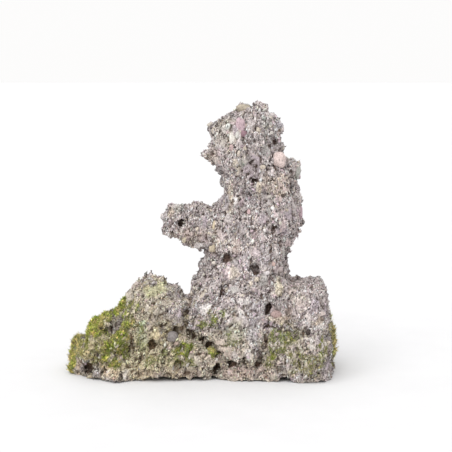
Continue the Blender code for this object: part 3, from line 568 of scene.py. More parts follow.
# Painted shade with some brown dirt: hollows, creases and holes are darkened in colour by how far the skin lies below
# its relaxed form and how deep the holes cut
fine_hollow = ((relaxed(skin, edges, FINE_ROUNDS) - skin) * out).sum(-1)
broad_hollow = ((relaxed(skin, edges, BROAD_ROUNDS) - skin) * out).sum(-1)
shade = 1 - (1 - 0.75 * rise(0.15, 1.0, fine_hollow)) * (1 - 0.85 * rise(0.9, 2.8, broad_hollow))
shade = 1 - (1 - shade) * (1 - 0.7 * rise(1.2, 2.8, depth))
green, dry = greenness(skin)
green *= patchy(skin)
film = 1 - green[:, None] * (1 - GREEN_FILM - dry[:, None] * (STRAW_FILM - GREEN_FILM))
write_values(stone.data, "shade", shade)
write_colours(stone.data, "film", film)
write_values(stone.data, "clast", clast)


# The pores' ramp paints their shade: its lowest step darkens the colour almost to black
PORE_STOPS = [(0.34, (0.06,) * 3), (0.442, (1.01,) * 3), (0.62, (1.14,) * 3), (0.72, (1.3,) * 3)]
LACE_STOPS = [(0.0, (1.38,) * 3), (0.035, (1.0,) * 3)]
SPECK_STOPS = [(0.32, (0.5,) * 3), (0.5, (1.04,) * 3), (0.68, (1.42,) * 3)]


class Shader:
    """A material's nodes, added one by one, with values or links for their sockets."""

    def __init__(self, name, roughness):
        self.material = bpy.data.materials.new(name)
        self.material.use_nodes = True
        self.tree = self.material.node_tree
        self.surface = self.tree.nodes["Principled BSDF"]
        self.surface.inputs["Roughness"].default_value = roughness
        self.surface.inputs["Specular IOR Level"].default_value = 0.3
        self.place = self.add("TexCoord").outputs["Object"]

    def add(self, kind, sockets=None, **settings):
        node = self.tree.nodes.new("ShaderNode" + kind)
        for key, value in settings.items():
            setattr(node, key, value)
        for key, value in (sockets or {}).items():
            self.put(node.inputs[key], value)
        return node

    def put(self, socket, value):
        if isinstance(value, bpy.types.NodeSocket):
            self.tree.links.new(value, socket)
        else:
            socket.default_value = value

    def attribute(self, name, output="Fac"):
        return self.add("Attribute", attribute_name=name).outputs[output]

    def maths(self, operation, a, b=0.0, clamp=False):
        return self.add("Math", {0: a, 1: b}, operation=operation, use_clamp=clamp).outputs[0]

    def between(self, value, low, high, to_low=0.0, to_high=1.0):
        """A smooth step of a value from to_low at low to to_high at high."""
        sockets = {"Value": value, "From Min": low, "From Max": high, "To Min": to_low, "To Max": to_high}
        return self.add("MapRange", sockets, interpolation_type="SMOOTHSTEP").outputs["Result"]

    def stretched(self, across, along):
        """Object coordinates in cells of the given size in millimetres, across and upwards."""
        scale = (1 / (across * MM), 1 / (across * MM), 1 / (along * MM))
        return self.add("Mapping", {"Vector": self.place, "Scale": scale}).outputs["Vector"]

    def noise(self, where, detail=2.0, rough=0.6):
        sockets = {"Vector": where, "Scale": 1.0, "Detail": detail, "Roughness": rough}
        return self.add("TexNoise", sockets).outputs["Fac"]

    def grains(self, where):
        """A random value for each of the cells, and the distance to its seed."""
        found = self.add("TexVoronoi", {"Vector": where, "Scale": 1.0})
        return found.outputs["Color"], found.outputs["Distance"]

    def ramp(self, value, stops, interpolation="LINEAR"):
        made = self.add("ValToRGB", {"Fac": value})
        made.color_ramp.interpolation = interpolation
        elements = made.color_ramp.elements
        while len(elements) < len(stops):
            elements.new(0.5)
        for element, (position, colour) in zip(elements, stops):
            element.position = position
            element.color = (*colour, 1.0)
        return made.outputs["Color"]

    def mix(self, share, a, b, blend="MIX"):
        made = self.add("Mix", data_type="RGBA", blend_type=blend)
        self.put(made.inputs[0], share)
        for socket, value in ((made.inputs[6], a), (made.inputs[7], b)):
            self.put(socket, value if isinstance(value, bpy.types.NodeSocket) else (*value, 1.0))
        return made.outputs[2]

    def weathered(self, colour, spared=0.0):
        """The colour with fine pores darkened as painted shade, between pale, lace-like ridges, less in calm patches
        and where the share that is spared rises."""
        bent = self.add("TexNoise", {"Vector": self.stretched(4, 4), "Scale": 1.0, "Detail": 1.0}).outputs["Color"]
        where = self.add("MixRGB", {"Fac": 0.25, "Color1": self.stretched(1.5, 2.3), "Color2": bent}, blend_type="ADD")
        where = where.outputs["Color"]
        pores = self.noise(where, 2.0, 0.7)
        lace = self.maths("ABSOLUTE", self.maths("SUBTRACT", self.noise(where, 3.0, 0.6), 0.5))
        # Painted shade: the pores are darkened in colour, not cut into the skin
        eaten = self.ramp(pores, PORE_STOPS)
        ridged = self.ramp(lace, LACE_STOPS)
        calm = self.between(self.noise(self.stretched(13, 24), 2.0, 0.5), 0.48, 0.62, 0.0, 0.55)
        full = self.maths("SUBTRACT", 1.0, self.maths("MULTIPLY", self.maths("MAXIMUM", spared, calm), 0.7))
        colour = self.mix(full, colour, eaten, "MULTIPLY")
        return self.mix(full, colour, ridged, "MULTIPLY")

    def finish(self, colour, height=None, distance=0.3):
        self.put(self.surface.inputs["Base Color"], colour)
        if height is not None:
            bump = self.add("Bump", {"Height": height, "Distance": distance * MM, "Strength": 1.0})
            self.put(self.surface.inputs["Normal"], bump.outputs["Normal"])
        return self.material


# Sand and gravel of the stone: share of the grains, and colour
SANDS = [
    (0.20, (158, 149, 148)),
    (0.17, (180, 171, 169)),
    (0.12, (132, 123, 123)),
    (0.11, (200, 193, 190)),
    (0.10, (184, 173, 160)),
    (0.09, (100, 92, 92)),
    (0.07, (166, 148, 154)),
    (0.05, (152, 152, 147)),
    (0.03, (228, 224, 222)),
    (0.02, (206, 184, 178)),
    (0.04, (68, 59, 56)),
]
GREY = (165, 155, 153)  # what the sands come to from a step away


def sand_stops():
    """The colours of the sand as a ramp's steps, each as wide as its share."""
    starts = np.cumsum([0.0] + [share for share, _ in SANDS[:-1]])
    return [(float(start), linear(*colour)) for start, (_, colour) in zip(starts, SANDS)]


def stone_shader():
    made = Shader("conglomerate", 0.92)
    clast = made.attribute("clast")
    sand, _ = made.grains(made.stretched(1.3, 2.2))
    speck = made.noise(made.stretched(1.2, 1.8), 2.0, 0.7)
    region = made.noise(made.stretched(20, 34), 3.0, 0.6)
    split = made.add("SeparateColor", {"Color": sand}).outputs["Red"]
    sandy = made.maths("SUBTRACT", 0.6, made.maths("MULTIPLY", clast, 0.45))
    colour = made.mix(sandy, linear(*GREY), made.ramp(split, sand_stops(), "CONSTANT"))
    colour = made.mix(1.0, colour, made.ramp(region, [(0.35, (0.90,) * 3), (0.65, (1.22,) * 3)]), "MULTIPLY")
    colour = made.mix(1.0, colour, made.ramp(speck, SPECK_STOPS), "MULTIPLY")
    colour = made.weathered(colour, clast)
    # Stains and patches of painted shade multiply the colour
    colour = made.mix(1.0, colour, made.attribute("stain_and_shade", "Color"), "MULTIPLY")
    colour = made.mix(made.between(speck, 0.25, 0.6, 0.4, 1.0), colour, made.attribute("film", "Color"), "MULTIPLY")
    # Painted shade with brown dirt: the colour is darkened in hollows by the shade attribute
    colour = made.mix(made.attribute("shade"), colour, HOLLOW_DIRT_AND_SHADE, "MULTIPLY")
    return made.finish(colour, speck, 0.5)


# Gravel cut flush by weather: share of the cells, and colour
CLASTS = [
    (0.28, (182, 174, 172)),
    (0.16, (188, 172, 172)),
    (0.16, (168, 156, 162)),
    (0.14, (192, 182, 166)),
    (0.14, (152, 150, 146)),
    (0.12, (206, 201, 198)),
]


def picked(kinds, values):
    """Colours from a list of shares and colours, each taken where a value from 0 to 1 falls in its share."""
    ends = np.cumsum([share for share, _ in kinds])
    return np.array([linear(*colour) for _, colour in kinds])[np.searchsorted(ends[:-1], values)]


plain = np.tile(linear(*GREY), (len(skin), 1))
plain += (0.8 * gravel(skin)[0])[:, None] * (picked(CLASTS, kind) - plain)
# The stains and patches of painted shade, as shares of the plain grey
write_colours(stone.data, "stain_and_shade", stained_and_shaded(skin, plain) / linear(*GREY))
stone.data.materials.clear()
stone.data.materials.append(stone_shader())
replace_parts(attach(stone, "root"), "rock")

# The grit
# Coarse sand, splinters and small gravel that stand proud where the softer cement has washed out from between them.
# Each is a chip with its own facets, sunk part of the way into the skin and laid along the stone's upright flow.
GRIT_SEED = 5
# Each: how many, mean half length, least and most width as a share of it, and whether it is rounded off
GRITS = {
    "grit_fine": (24000, 0.7, (0.5, 0.9), False),
    "grit_long": (24000, 1.3, (0.25, 0.5), False),
    "grit_flakes": (18000, 1.0, (0.4, 0.7), False),
    "grit_coarse": (1500, 1.3, (0.5, 0.9), True),
}
FLOW_SPREAD = math.radians(26)
TILT, TILT_SPREAD = math.radians(14), math.radians(18)  # how far a chip's upper end stands out
UNDERSIDE = 1.5  # no chip is set lower than this


def unit(vectors):
    return vectors / np.linalg.norm(vectors, axis=-1, keepdims=True)


def frames_on(normals, along):
    """Two directions across each normal: the given one laid flat on the surface, and the one square to both."""
    side = unit(np.cross(normals, along))
    return np.cross(side, normals), side


def ball(fineness):
    """The points and triangles of an icosphere of radius 1."""
    form = bmesh.new()
    bmesh.ops.create_icosphere(form, subdivisions=fineness, radius=1.0)
    points = np.array([vertex.co for vertex in form.verts])
    faces = np.array([[vertex.index for vertex in face.verts] for face in form.faces])
    form.free()
    return points, faces


def splinter():
    """The points and triangles of an octahedron of radius 1, longest along its own first axis."""
    points = np.array([(1, 0, 0), (-1, 0, 0), (0, 1, 0), (0, -1, 0), (0, 0, 1), (0, 0, -1)], float)
    faces = np.array([(0, 2, 4), (2, 1, 4), (1, 3, 4), (3, 0, 4), (2, 0, 5), (1, 2, 5), (3, 1, 5), (0, 3, 5)])
    return points, faces


def repeated(faces, count, points_each):
    """The faces of one shape for each of its copies, whose points follow on."""
    return (faces[None] + points_each * np.arange(count)[:, None, None]).reshape(-1, faces.shape[1])


def mesh_piece(name, points, faces, tints, material, slot):
    """A piece from arrays: points in millimetres, triangles, and a colour for each point."""
    mesh = bpy.data.meshes.new(name)
    mesh.vertices.add(len(points))
    mesh.vertices.foreach_set("co", (points * MM).astype(np.float32).ravel())
    mesh.loops.add(faces.size)
    mesh.loops.foreach_set("vertex_index", faces.astype(np.int32).ravel())
    mesh.polygons.add(len(faces))
    mesh.polygons.foreach_set("loop_start", np.arange(0, faces.size, 3, dtype=np.int32))
    mesh.update(calc_edges=True)
    write_colours(mesh, "tint", tints)
    mesh.materials.append(material)
    piece = bpy.data.objects.new(name, mesh)
    bpy.context.scene.collection.objects.link(piece)
    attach(piece, "root")
    return piece


def sand_tints(draw, count):
    """Colours drawn from the sands by their shares, each a little lighter or darker than its kind."""
    shares = np.array([share for share, _ in SANDS])
    kinds = draw.choice(len(SANDS), count, p=shares / shares.sum())
    colours = np.array([linear(*colour) for _, colour in SANDS])[kinds]
    return np.minimum(colours * draw.lognormal(0.09, 0.22, (count, 1)), 0.58)


def chips(draw, shape, places, normals, half, width):
    """Chips as one shape with every point moved in or out by chance, turned near the flow and set in the skin."""
    count = len(places)
    lengths = half * np.clip(draw.lognormal(0, 0.45, count), 0.4, 3.0)
    widths = lengths * draw.uniform(*width, count)
    heights = widths * draw.uniform(0.45, 0.9, count)
    flow = (0.1, 0.0, 1.0) + fan(places)[:, None] * (1, 0, 0) + draw.normal(0, 0.12, (count, 3))
    along, side = frames_on(normals, flow)
    turn = draw.normal(0, FLOW_SPREAD, count)[:, None]
    along, side = along * np.cos(turn) + side * np.sin(turn), side * np.cos(turn) - along * np.sin(turn)
    tilt = draw.normal(TILT, TILT_SPREAD, count)[:, None]
    along, normals = along * np.cos(tilt) + normals * np.sin(tilt), normals * np.cos(tilt) - along * np.sin(tilt)
    rough = shape[None] * draw.uniform(0.72, 1.2, (count, len(shape), 1))
    sizes = np.stack([lengths, widths, heights], -1)
    axes = np.stack([along, side, normals], -2)
    centres = places + normals * (heights * draw.uniform(-0.25, 0.45, count))[:, None]
    points = centres[:, None] + np.einsum("npi,nij->npj", rough * sizes[:, None], axes)
    points[..., 2] = np.maximum(points[..., 2], 0.0)
    return points.reshape(-1, 3)


def grit_shader():
    made = Shader("grit", 0.85)
    speck = made.noise(made.stretched(1.2, 1.8), 2.0, 0.7)
    tint = made.attribute("tint", "Color")
    colour = made.mix(1.0, tint, made.ramp(speck, SPECK_STOPS), "MULTIPLY")
    return made.finish(made.weathered(colour), speck, 0.2)


draw = np.random.default_rng(GRIT_SEED)
grit_finish = grit_shader()
standing = (skin[:, 2] > UNDERSIDE) * (1 - 0.4 * shade) * (1 - 0.92 * clast) * (from_pebble > 0.95)
for name, (count, half, width, rounded) in GRITS.items():
    shape, faces = ball(1) if rounded else splinter()
    spots = draw.choice(len(skin), count, replace=False, p=standing / standing.sum())
    points = chips(draw, shape, skin[spots], out[spots], half, width)
    tints = sand_tints(draw, count) * stained_and_shaded(skin[spots], np.tile(linear(*GREY), (count, 1))) / linear(*GREY)
    tints *= 1 - draw.random((count, 1)) * (1 - film[spots])
    # Painted shade with brown dirt: chips in hollows are darkened like the skin round them
    tints *= 1 - shade[spots, None] * (1 - np.array(HOLLOW_DIRT_AND_SHADE))
    mesh_piece(name, points, repeated(faces, count, len(shape)), np.repeat(tints, len(shape), 0), grit_finish, "stone")

# The pebbles
# Rounded pebbles of other rocks, pink, purple, cream, white and grey-green, that the cement holds fast. The larger
# ones of the show face lie in grooves of the skin where the stone has them, and small ones are strewn all over it.
PEBBLE_SEED = 21
STREWN_PEBBLES = 220
FACE_POINTS = 24
PEBBLE_TINTS = [(190, 174, 170), (168, 153, 157), (192, 186, 176), (196, 192, 186), (154, 151, 148), (182, 172, 158)]


def pebbles(draw, places, normals, sizes, alongs, squareness, tints, fineness):
    """Pebbles as balls, squarer as their power rises over 2, with a low swell over them, turned to their length."""
    ball_points, faces = ball(fineness)
    count = len(places)
    along, side = frames_on(normals, alongs)
    axes = np.stack([along, side, normals], -2)
    power = np.asarray(squareness)[:, None, None]
    shape = ball_points / (np.abs(ball_points) ** power).sum(-1, keepdims=True) ** (1 / power)
    offset = draw.uniform(0, 900, (count, 1, 3))
    swell = cloud((ball_points[None] + offset).reshape(-1, 3), 0.8, 80).reshape(count, -1, 1)
    points = places[:, None] + np.einsum("npi,nij->npj", shape * sizes[:, None] * (1 + 0.16 * swell), axes)
    points[..., 2] = np.maximum(points[..., 2], 0.0)
    return points.reshape(-1, 3), repeated(faces, count, len(ball_points)), np.repeat(tints, len(ball_points), 0)


def face_depth(x, height):
    """How deep the show face lies at a place: the middle of the foremost of the skin's points round it."""
    away = np.hypot(skin[:, 0] - x, skin[:, 2] - height) + 1000.0 * (out[:, 1] > 0)
    round_it = np.argsort(away)[:FACE_POINTS]
    return np.median(np.sort(skin[round_it, 1])[:FACE_POINTS // 2])


def pebble_shader():
    made = Shader("pebble", 0.75)
    mottle = made.noise(made.stretched(1.8, 2.6), 4.0, 0.75)
    tint = made.attribute("tint", "Color")
    colour = made.mix(1.0, tint, made.ramp(mottle, [(0.3, (0.74, 0.71, 0.70)), (0.7, (1.2, 1.2, 1.2))]), "MULTIPLY")
    return made.finish(made.weathered(colour, 0.8), mottle, 0.8)


draw = np.random.default_rng(PEBBLE_SEED)
pebble_finish = pebble_shader()
table = np.array([row[:7] for row in SET_PEBBLES])
places = np.array([(x, face_depth(x, height), height) for x, height in table[:, :2]])
sizes = np.stack([table[:, 3], table[:, 2], 0.8 * table[:, 2:4].min(-1)], -1)
places[:, 1] += (1 - 2 * table[:, 6]) * sizes[:, 2]
leans = np.radians(table[:, 4])
alongs = np.stack([np.sin(leans), np.zeros(len(leans)), np.cos(leans)], -1)
facing = np.tile([0.0, -1.0, 0.0], (len(places), 1))
tints = np.array([linear(*row[7]) for row in SET_PEBBLES])
shapes = pebbles(draw, places, facing, sizes, alongs, table[:, 5], tints, 3)
mesh_piece("set_pebbles", *shapes, pebble_finish, "stone").data.shade_smooth()

spots = draw.choice(len(skin), STREWN_PEBBLES, replace=False, p=standing / standing.sum())
half = np.clip(draw.lognormal(0.25, 0.3, STREWN_PEBBLES), 0.8, 2.4)
sizes = np.stack([half * draw.uniform(1.0, 1.7, STREWN_PEBBLES), half, 0.6 * half], -1)
alongs = np.tile([0.1, 0.0, 1.0], (STREWN_PEBBLES, 1)) + draw.normal(0, 0.3, (STREWN_PEBBLES, 3))
tints = np.array([linear(*tint) for tint in PEBBLE_TINTS])[draw.integers(0, len(PEBBLE_TINTS), STREWN_PEBBLES)]
squareness = draw.uniform(2.0, 3.4, STREWN_PEBBLES)
shapes = pebbles(draw, skin[spots], out[spots], sizes, alongs, squareness, tints, 2)
mesh_piece("strewn_pebbles", *shapes, pebble_finish, "stone")

# The moss
# Living moss in cushions of short upright shoots on the left shoulder, the left end, the lower front and the right
# flank. Each cushion is a mat of old brown-green growth on the stone, with green and straw-coloured shoots out of it.
MOSS_SEED = 8
MAT_VOXEL = 1.2
GOLDEN_TURN = 2.39996
SHOOT_LEAVES = 3
STEM_RADIUS, LEAF_RADIUS = 0.24, 0.22
GREENS = [(0.34, (166, 182, 68)), (0.24, (184, 194, 86)), (0.24, (136, 156, 50)), (0.18, (180, 180, 124))]
STRAWS = [(0.40, (230, 212, 152)), (0.35, (208, 188, 126)), (0.25, (166, 148, 98))]
FADED, THREADS = 0.8, (162, 166, 122)  # where shoots are few they fade to this grey-green
MAT_SHADE = (0.68, 0.65, 0.55)  # what the old growth of a mat has of its shoots' colours
BURIED, HIDDEN = 1.3, 0.5  # how deep a mat's underside lies in the stone, and its top where no moss grows
COVER_EDGE, COVER_FADE = 7.5, 3.0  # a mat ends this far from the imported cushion, and fades out over this much
TUFT_SIZE, PATCH_SIZE = 2.0, 6.0
TUFT_HEIGHT, TUFT_GAP = 1.1, 0.45  # how far tufts differ in height, and the light in the gaps between them

# Each cushion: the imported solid, the shoots in each square millimetre and their length, how high the mat stands over
# the stone, and the share of straw
CUSHIONS = {
    "crest_moss": ("moss_left_crest", 2.2, 2.6, 0.8, 0.2),
    "end_moss": ("moss_left_end", 1.8, 3.2, 0.6, 0.6),
    "left_face_moss": ("moss_left_face", 2.2, 2.6, 0.8, 0.4),
    "front_moss": ("moss_front_tuft", 2.2, 2.8, 1.2, 0.2),
    "centre_moss": ("moss_centre_face", 1.4, 2.4, 0.5, 0.2),
    "shelf_moss": ("moss_shelf_tuft", 2.0, 2.4, 0.8, 0.3),
    "right_face_moss": ("moss_right_face", 1.4, 2.4, 0.5, 0.2),
    "right_end_moss": ("moss_right_end", 1.2, 2.6, 0.2, 0.5),
}


calm_out = unit(relaxed(out, edges, BROAD_ROUNDS))


def nearest(points, others):
    """The index of the nearest of the others for each point, worked out in blocks that fit in memory."""
    squares = (others ** 2).sum(-1)
    blocks = np.array_split(points, len(points) // 500 + 1)
    return np.concatenate([(squares - 2 * block @ others.T).argmin(-1) for block in blocks])


def triangles_of(mesh):
    mesh.calc_loop_triangles()
    return read(mesh.loop_triangles, "vertices", 3, int)


def spread_over(draw, points, faces, count):
    """Places drawn evenly over triangles by their area, with the triangles' normals and one of their corners."""
    a, b, c = (points[faces[:, i]] for i in range(3))
    square = np.cross(b - a, c - a)
    area = np.linalg.norm(square, axis=-1) / 2
    chosen = draw.choice(len(faces), count, p=area / area.sum())
    u, v = np.sqrt(draw.random((count, 1))), draw.random((count, 1))
    places = (1 - u) * a[chosen] + u * (1 - v) * b[chosen] + u * v * c[chosen]
    return places, unit(square[chosen]), faces[chosen, 0]


def spikes(bases, aims, lengths, radii):
    """Slim three-sided cones: three points round each base, square to its aim, and one at the tip."""
    across, side = frames_on(aims, np.tile([0.3, 0.1, 0.95], (len(aims), 1)))
    turns = 2 * np.pi * np.arange(3) / 3
    rim = np.cos(turns)[:, None] * across[:, None] + np.sin(turns)[:, None] * side[:, None]
    rim = bases[:, None] + rim * radii[:, None, None]
    tips = bases + aims * lengths[:, None]
    faces = np.array([(0, 1, 3), (1, 2, 3), (2, 0, 3), (0, 2, 1)])
    return np.concatenate([rim, tips[:, None]], 1).reshape(-1, 3), repeated(faces, len(bases), 4)


def shoots(draw, feet, ups, length, leaves):
    """Moss shoots: a stem from each foot, and leaves up it at golden turns that lean out less towards its tip."""
    count = len(feet)
    lengths = length * np.clip(draw.lognormal(0, 0.25, count), 0.5, 1.8)
    leans = unit(0.8 * ups + draw.normal(0, 0.28, ups.shape) + (0, 0, 0.8))
    across, side = frames_on(leans, np.tile([0.9, 0.3, 0.1], (count, 1)))
    step = np.arange(leaves)
    height = 0.2 + 0.65 * step / leaves
    tilt = np.radians(46 - 30 * step / leaves)[None] + draw.normal(0, 0.15, (count, leaves))
    turn = GOLDEN_TURN * step[None] + draw.uniform(0, 2 * np.pi, (count, 1))
    outward = np.cos(turn)[..., None] * across[:, None] + np.sin(turn)[..., None] * side[:, None]
    aims = np.cos(tilt)[..., None] * leans[:, None] + np.sin(tilt)[..., None] * outward
    bases = feet[:, None] + leans[:, None] * (height[None] * lengths[:, None])[..., None]
    bases = np.concatenate([feet[:, None] - 0.4 * leans[:, None], bases], 1).reshape(-1, 3)
    aims = np.concatenate([leans[:, None], aims], 1).reshape(-1, 3)
    reach = np.concatenate([lengths[:, None] + 0.4, np.tile(0.45 * lengths[:, None], leaves)], 1).ravel()
    radii = np.tile([STEM_RADIUS] + [LEAF_RADIUS] * leaves, count)
    return spikes(bases, aims, reach, radii)


def tufts(points):
    """Tufts of growth: 0 in the gaps between them to 1 in their middles, and each one's own chance."""
    near, after, own = clods(wavering(points) / (1, 1, 1.6), TUFT_SIZE, 90)
    return rise(0.0, 0.4, after - near), own


def moss_colours(draw, points, straw):
    """Green or straw, by tufts with some strays, more of one than of the other in each patch, with painted shade in the
    gaps.
    """
    count = len(points)
    body, own = tufts(points)
    strays = draw.random(count) < 0.5
    value = np.where(strays, draw.random(count), own)
    second, light = (chance(np.floor(1000 * own)[:, None].astype(int) * [1, 2, 3], salt) for salt in (91, 93))
    second = np.where(strays, draw.random(count), second)
    dry = value < straw + 0.55 * cloud(points, PATCH_SIZE, 92)
    # Painted shade: the gaps between tufts are darkened by TUFT_GAP
    light = (1.3 + 0.6 * light) * (TUFT_GAP + (1 - TUFT_GAP) * body) * draw.lognormal(0, 0.22, count)
    return np.where(dry[:, None], picked(STRAWS, second), picked(GREENS, second)) * light[:, None]


def faded(colours, share):
    """The colours of growth, paler and greyer where its share is small."""
    return colours + (FADED * (1 - share))[:, None] * (np.array(linear(*THREADS)) - colours)


def shoot_tints(draw, feet, straw, share, leaves):
    """Colours of the points of shoots, dark at each base and pale at each tip, and faded where few of them grow."""
    shades = np.tile([0.55, 0.55, 0.55, 1.35], leaves + 1)
    colours = faded(moss_colours(draw, feet, straw), share)
    return (colours[:, None] * shades[:, None]).reshape(-1, 3)


def moss_shader():
    made = Shader("living_moss", 0.8)
    patch = made.noise(made.stretched(6, 6), 3.0, 0.6)
    fine = made.noise(made.stretched(1.2, 2.4), 3.0, 0.8)
    tint = made.attribute("tint", "Color")
    colour = made.mix(1.0, tint, made.ramp(patch, [(0.3, (0.8, 0.8, 0.8)), (0.7, (1.2, 1.18, 1.1))]), "MULTIPLY")
    colour = made.mix(1.0, colour, made.ramp(fine, [(0.34, (0.22,) * 3), (0.66, (1.8,) * 3)]), "MULTIPLY")
    return made.finish(colour, fine, 0.6)


def distance_from(node, points):
    """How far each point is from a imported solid, nothing inside it and no more than the reach of its mat."""
    solid = copy_of(node, "measured")
    regrid(solid, MAT_VOXEL, 2)
    mesh = solid.data
    form, form_out = read(mesh.vertices, "co", 3) / MM, read(mesh.vertex_normals, "vector", 3)
    bpy.data.objects.remove(solid)
    bpy.data.meshes.remove(mesh)
    found = np.full(len(points), COVER_EDGE)
    close = ((points > form.min(0) - COVER_EDGE) & (points < form.max(0) + COVER_EDGE)).all(-1)
    at = nearest(points[close], form)
    gap = points[close] - form[at]
    found[close] = np.where((gap * form_out[at]).sum(-1) > 0, np.linalg.norm(gap, axis=-1), 0)
    return found


def shell(top, bottom, faces):
    """A closed shell: the faces on their tops, the same turned over on their bottoms, and walls along their rim. The
    skin's points that it has, once for its top and once for its bottom, are told as well."""
    used, faces = np.unique(faces, return_inverse=True)
    faces = faces.reshape(-1, 3)
    count = len(used)
    sides = np.concatenate([faces[:, [0, 1]], faces[:, [1, 2]], faces[:, [2, 0]]])
    rim = sides[~np.isin(sides[:, 0] * count + sides[:, 1], sides[:, 1] * count + sides[:, 0])]
    a, b = rim.T
    walls = np.concatenate([np.stack([b, a, a + count], -1), np.stack([b, a + count, b + count], -1)])
    faces = np.concatenate([faces, faces[:, ::-1] + count, walls])
    return np.concatenate([top[used], bottom[used]]), faces, np.tile(used, 2)


def cushion(draw, name, node, density, length, tallest, straw, finish):
    """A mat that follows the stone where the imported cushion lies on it, and shoots out of it."""
    share = cover * rise(COVER_EDGE, COVER_EDGE - COVER_FADE, distance_from(node, skin))
    grown = rise(0.3, 0.9, share)
    body, own = tufts(skin)
    height = tallest * (1 - 0.6 * front) * (0.5 + 0.5 * cloud(skin, 4.0, 60)) + TUFT_HEIGHT * (body + own) / 2
    top = skin + (grown * height - HIDDEN * (1 - grown))[:, None] * calm_out
    top[:, 2] = np.maximum(top[:, 2], HIDDEN)
    bottom = skin - BURIED * calm_out
    bottom[:, 2] = np.maximum(bottom[:, 2], 0.1)
    points, faces, origin = shell(top, bottom, skin_faces[share[skin_faces].max(-1) > 0.02])
    open_faces = skin_faces[(share[skin_faces].min(-1) > 0.05) & (top[skin_faces][..., 2].min(-1) > UNDERSIDE)]
    a, b, c = (top[open_faces[:, i]] for i in range(3))
    area = np.linalg.norm(np.cross(b - a, c - a), axis=-1).sum() / 2
    feet, ups, corner = spread_over(draw, top, open_faces, round(area * density))
    thick = draw.random(len(feet)) < rise(-0.6, 0.0, cloud(feet, 5.0, 61)) * (0.3 + 0.7 * share[corner])
    feet, ups, corner = feet[thick], ups[thick], corner[thick]
    tops, blades = shoots(draw, feet, ups, length, SHOOT_LEAVES)
    tops[:, 2] = np.maximum(tops[:, 2], 0.1)
    colours = shoot_tints(draw, feet, (straw + greenness(feet)[1]) / 2, share[corner], SHOOT_LEAVES)
    mat_colours = faded(moss_colours(draw, points, (straw + greenness(points)[1]) / 2), share[origin]) * MAT_SHADE
    both = np.concatenate([points, tops]), np.concatenate([faces, blades + len(points)])
    piece = mesh_piece(name, *both, np.concatenate([mat_colours, colours]), finish, "moss")
    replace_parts(piece, node)


skin_faces = triangles_of(stone.data)
front = rise(0.2, 0.8, -calm_out[:, 1])
broken = 1 - 0.6 * front * rise(0.3, -0.5, cloud(along_flow(skin, 1.8), 2.4, 75))
cover = rise(0.1, 0.75, greenness(skin)[0] * (1 - 0.4 * front * (1 - patchy(skin)))) * (1 - rise(0.4, 1.2, depth)) * broken
draw = np.random.default_rng(MOSS_SEED)
moss_finish = moss_shader()
for name, (node, density, length, tallest, straw) in CUSHIONS.items():
    cushion(draw, name, node, density, length, tallest, straw, moss_finish)

# Single sprigs of moss on the stone round the cushions, shorter and with fewer leaves
SPRIGS = {"sprigs_left": (-200, -55, 9000), "sprigs_right": (-55, 200, 7000)}
SPRIG_LENGTH = 2.1
SPRIG_LEAVES = 2
for name, (low_x, high_x, count) in SPRIGS.items():
    open_to = green * (1.4 - green) * (skin[:, 2] > 2 * UNDERSIDE) * (skin[:, 0] > low_x) * (skin[:, 0] <= high_x)
    chosen = draw.choice(len(skin), count, p=open_to / open_to.sum())
    feet = skin[chosen] + draw.normal(0, 0.4, (count, 3))
    points, faces = shoots(draw, feet, out[chosen], SPRIG_LENGTH, SPRIG_LEAVES)
    points[:, 2] = np.maximum(points[:, 2], 0.1)
    tints = shoot_tints(draw, feet, dry[chosen], green[chosen], SPRIG_LEAVES)
    mesh_piece(name, points, faces, tints, moss_finish, "moss")

# Long shoots that stand out of the rims of the cushions: places by centre x and height, half width and half height
RIMS = [(-116, 33, 9, 6), (-125, 14, 8, 16), (122, 28, 8, 26)]
RIM_SHOOTS, RIM_LENGTH = 900, 3.8
open_to = patchwork(skin, RIMS).max(-1) * rise(0, 0.3, cover) * (calm_out[:, 2] > -0.3) * (skin[:, 2] > 2 * UNDERSIDE)
chosen = draw.choice(len(skin), RIM_SHOOTS, p=open_to / open_to.sum())
points, faces = shoots(draw, skin[chosen] + 0.5 * calm_out[chosen], calm_out[chosen], RIM_LENGTH, SPRIG_LEAVES)
points[:, 2] = np.maximum(points[:, 2], 0.1)
tints = shoot_tints(draw, skin[chosen], 0.3 + 0.6 * dry[chosen], np.ones(RIM_SHOOTS), SPRIG_LEAVES)
mesh_piece("rim_shoots", points, faces, tints, moss_finish, "moss")

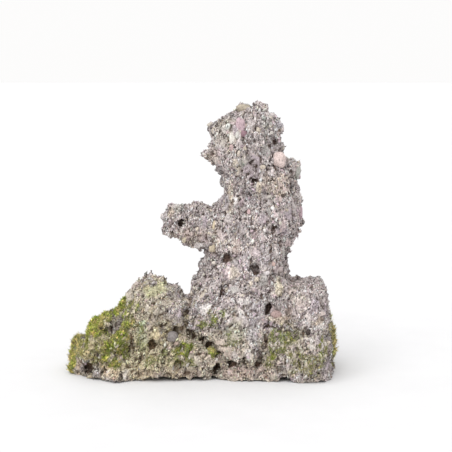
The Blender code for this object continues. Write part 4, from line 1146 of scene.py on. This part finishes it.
# The light
# A white sheet under the rock, with soft light all round it and a little more from above and to the left.
CAMERA_DISTANCE = 1250
CAMERA_RISE = math.radians(8)
CAMERA_AIM = (20.5, 0.0, 135.1)
PIXEL_SIZE = 0.93  # of the photograph, at the origin's distance
PHOTO_SIDE = 452


def aimed(thing, target):
    """Turns an object's -Z axis to a point in millimetres."""
    thing.rotation_mode = "QUATERNION"
    thing.rotation_quaternion = (Vector(target) * MM - thing.location).to_track_quat("-Z", "Y")


def place_camera():
    lens = bpy.data.cameras.new("camera")
    camera = bpy.data.objects.new("camera", lens)
    bpy.context.scene.collection.objects.link(camera)
    back = Vector((0, -math.cos(CAMERA_RISE), math.sin(CAMERA_RISE))) * CAMERA_DISTANCE
    camera.location = (Vector(CAMERA_AIM) + back) * MM
    lens.sensor_width = 36
    lens.lens = lens.sensor_width / 2 * CAMERA_DISTANCE / (PIXEL_SIZE * PHOTO_SIDE / 2)
    aimed(camera, CAMERA_AIM)
    bpy.context.scene.camera = camera


def place_floor():
    form = bmesh.new()
    bmesh.ops.create_circle(form, cap_ends=True, segments=96, radius=8)
    mesh = bpy.data.meshes.new("floor")
    form.to_mesh(mesh)
    form.free()
    sheet = bpy.data.objects.new("floor", mesh)
    bpy.context.scene.collection.objects.link(sheet)
    made = Shader("white_sheet", 0.8)
    paper = made.noise(made.stretched(60, 60), 4.0, 0.6)
    mesh.materials.append(made.finish(made.ramp(paper, [(0.3, linear(216, 216, 217)), (0.7, linear(219, 219, 220))])))


def place_sun(name, place, spread, strength):
    light = bpy.data.lights.new(name, "SUN")
    light.angle = math.radians(spread)
    light.energy = strength
    lamp = bpy.data.objects.new(name, light)
    bpy.context.scene.collection.objects.link(lamp)
    lamp.location = Vector(place) * MM
    aimed(lamp, CAMERA_AIM)


def light_room():
    world = bpy.data.worlds.new("room")
    world.use_nodes = True
    room = world.node_tree.nodes["Background"]
    room.inputs["Color"].default_value = (1.0, 0.995, 0.99, 1.0)
    room.inputs["Strength"].default_value = 0.98
    bpy.context.scene.world = world
    bpy.context.scene.view_settings.view_transform = "Standard"


place_camera()
place_floor()
light_room()
place_sun("key", (-350, -800, 1300), 60, 1.95)
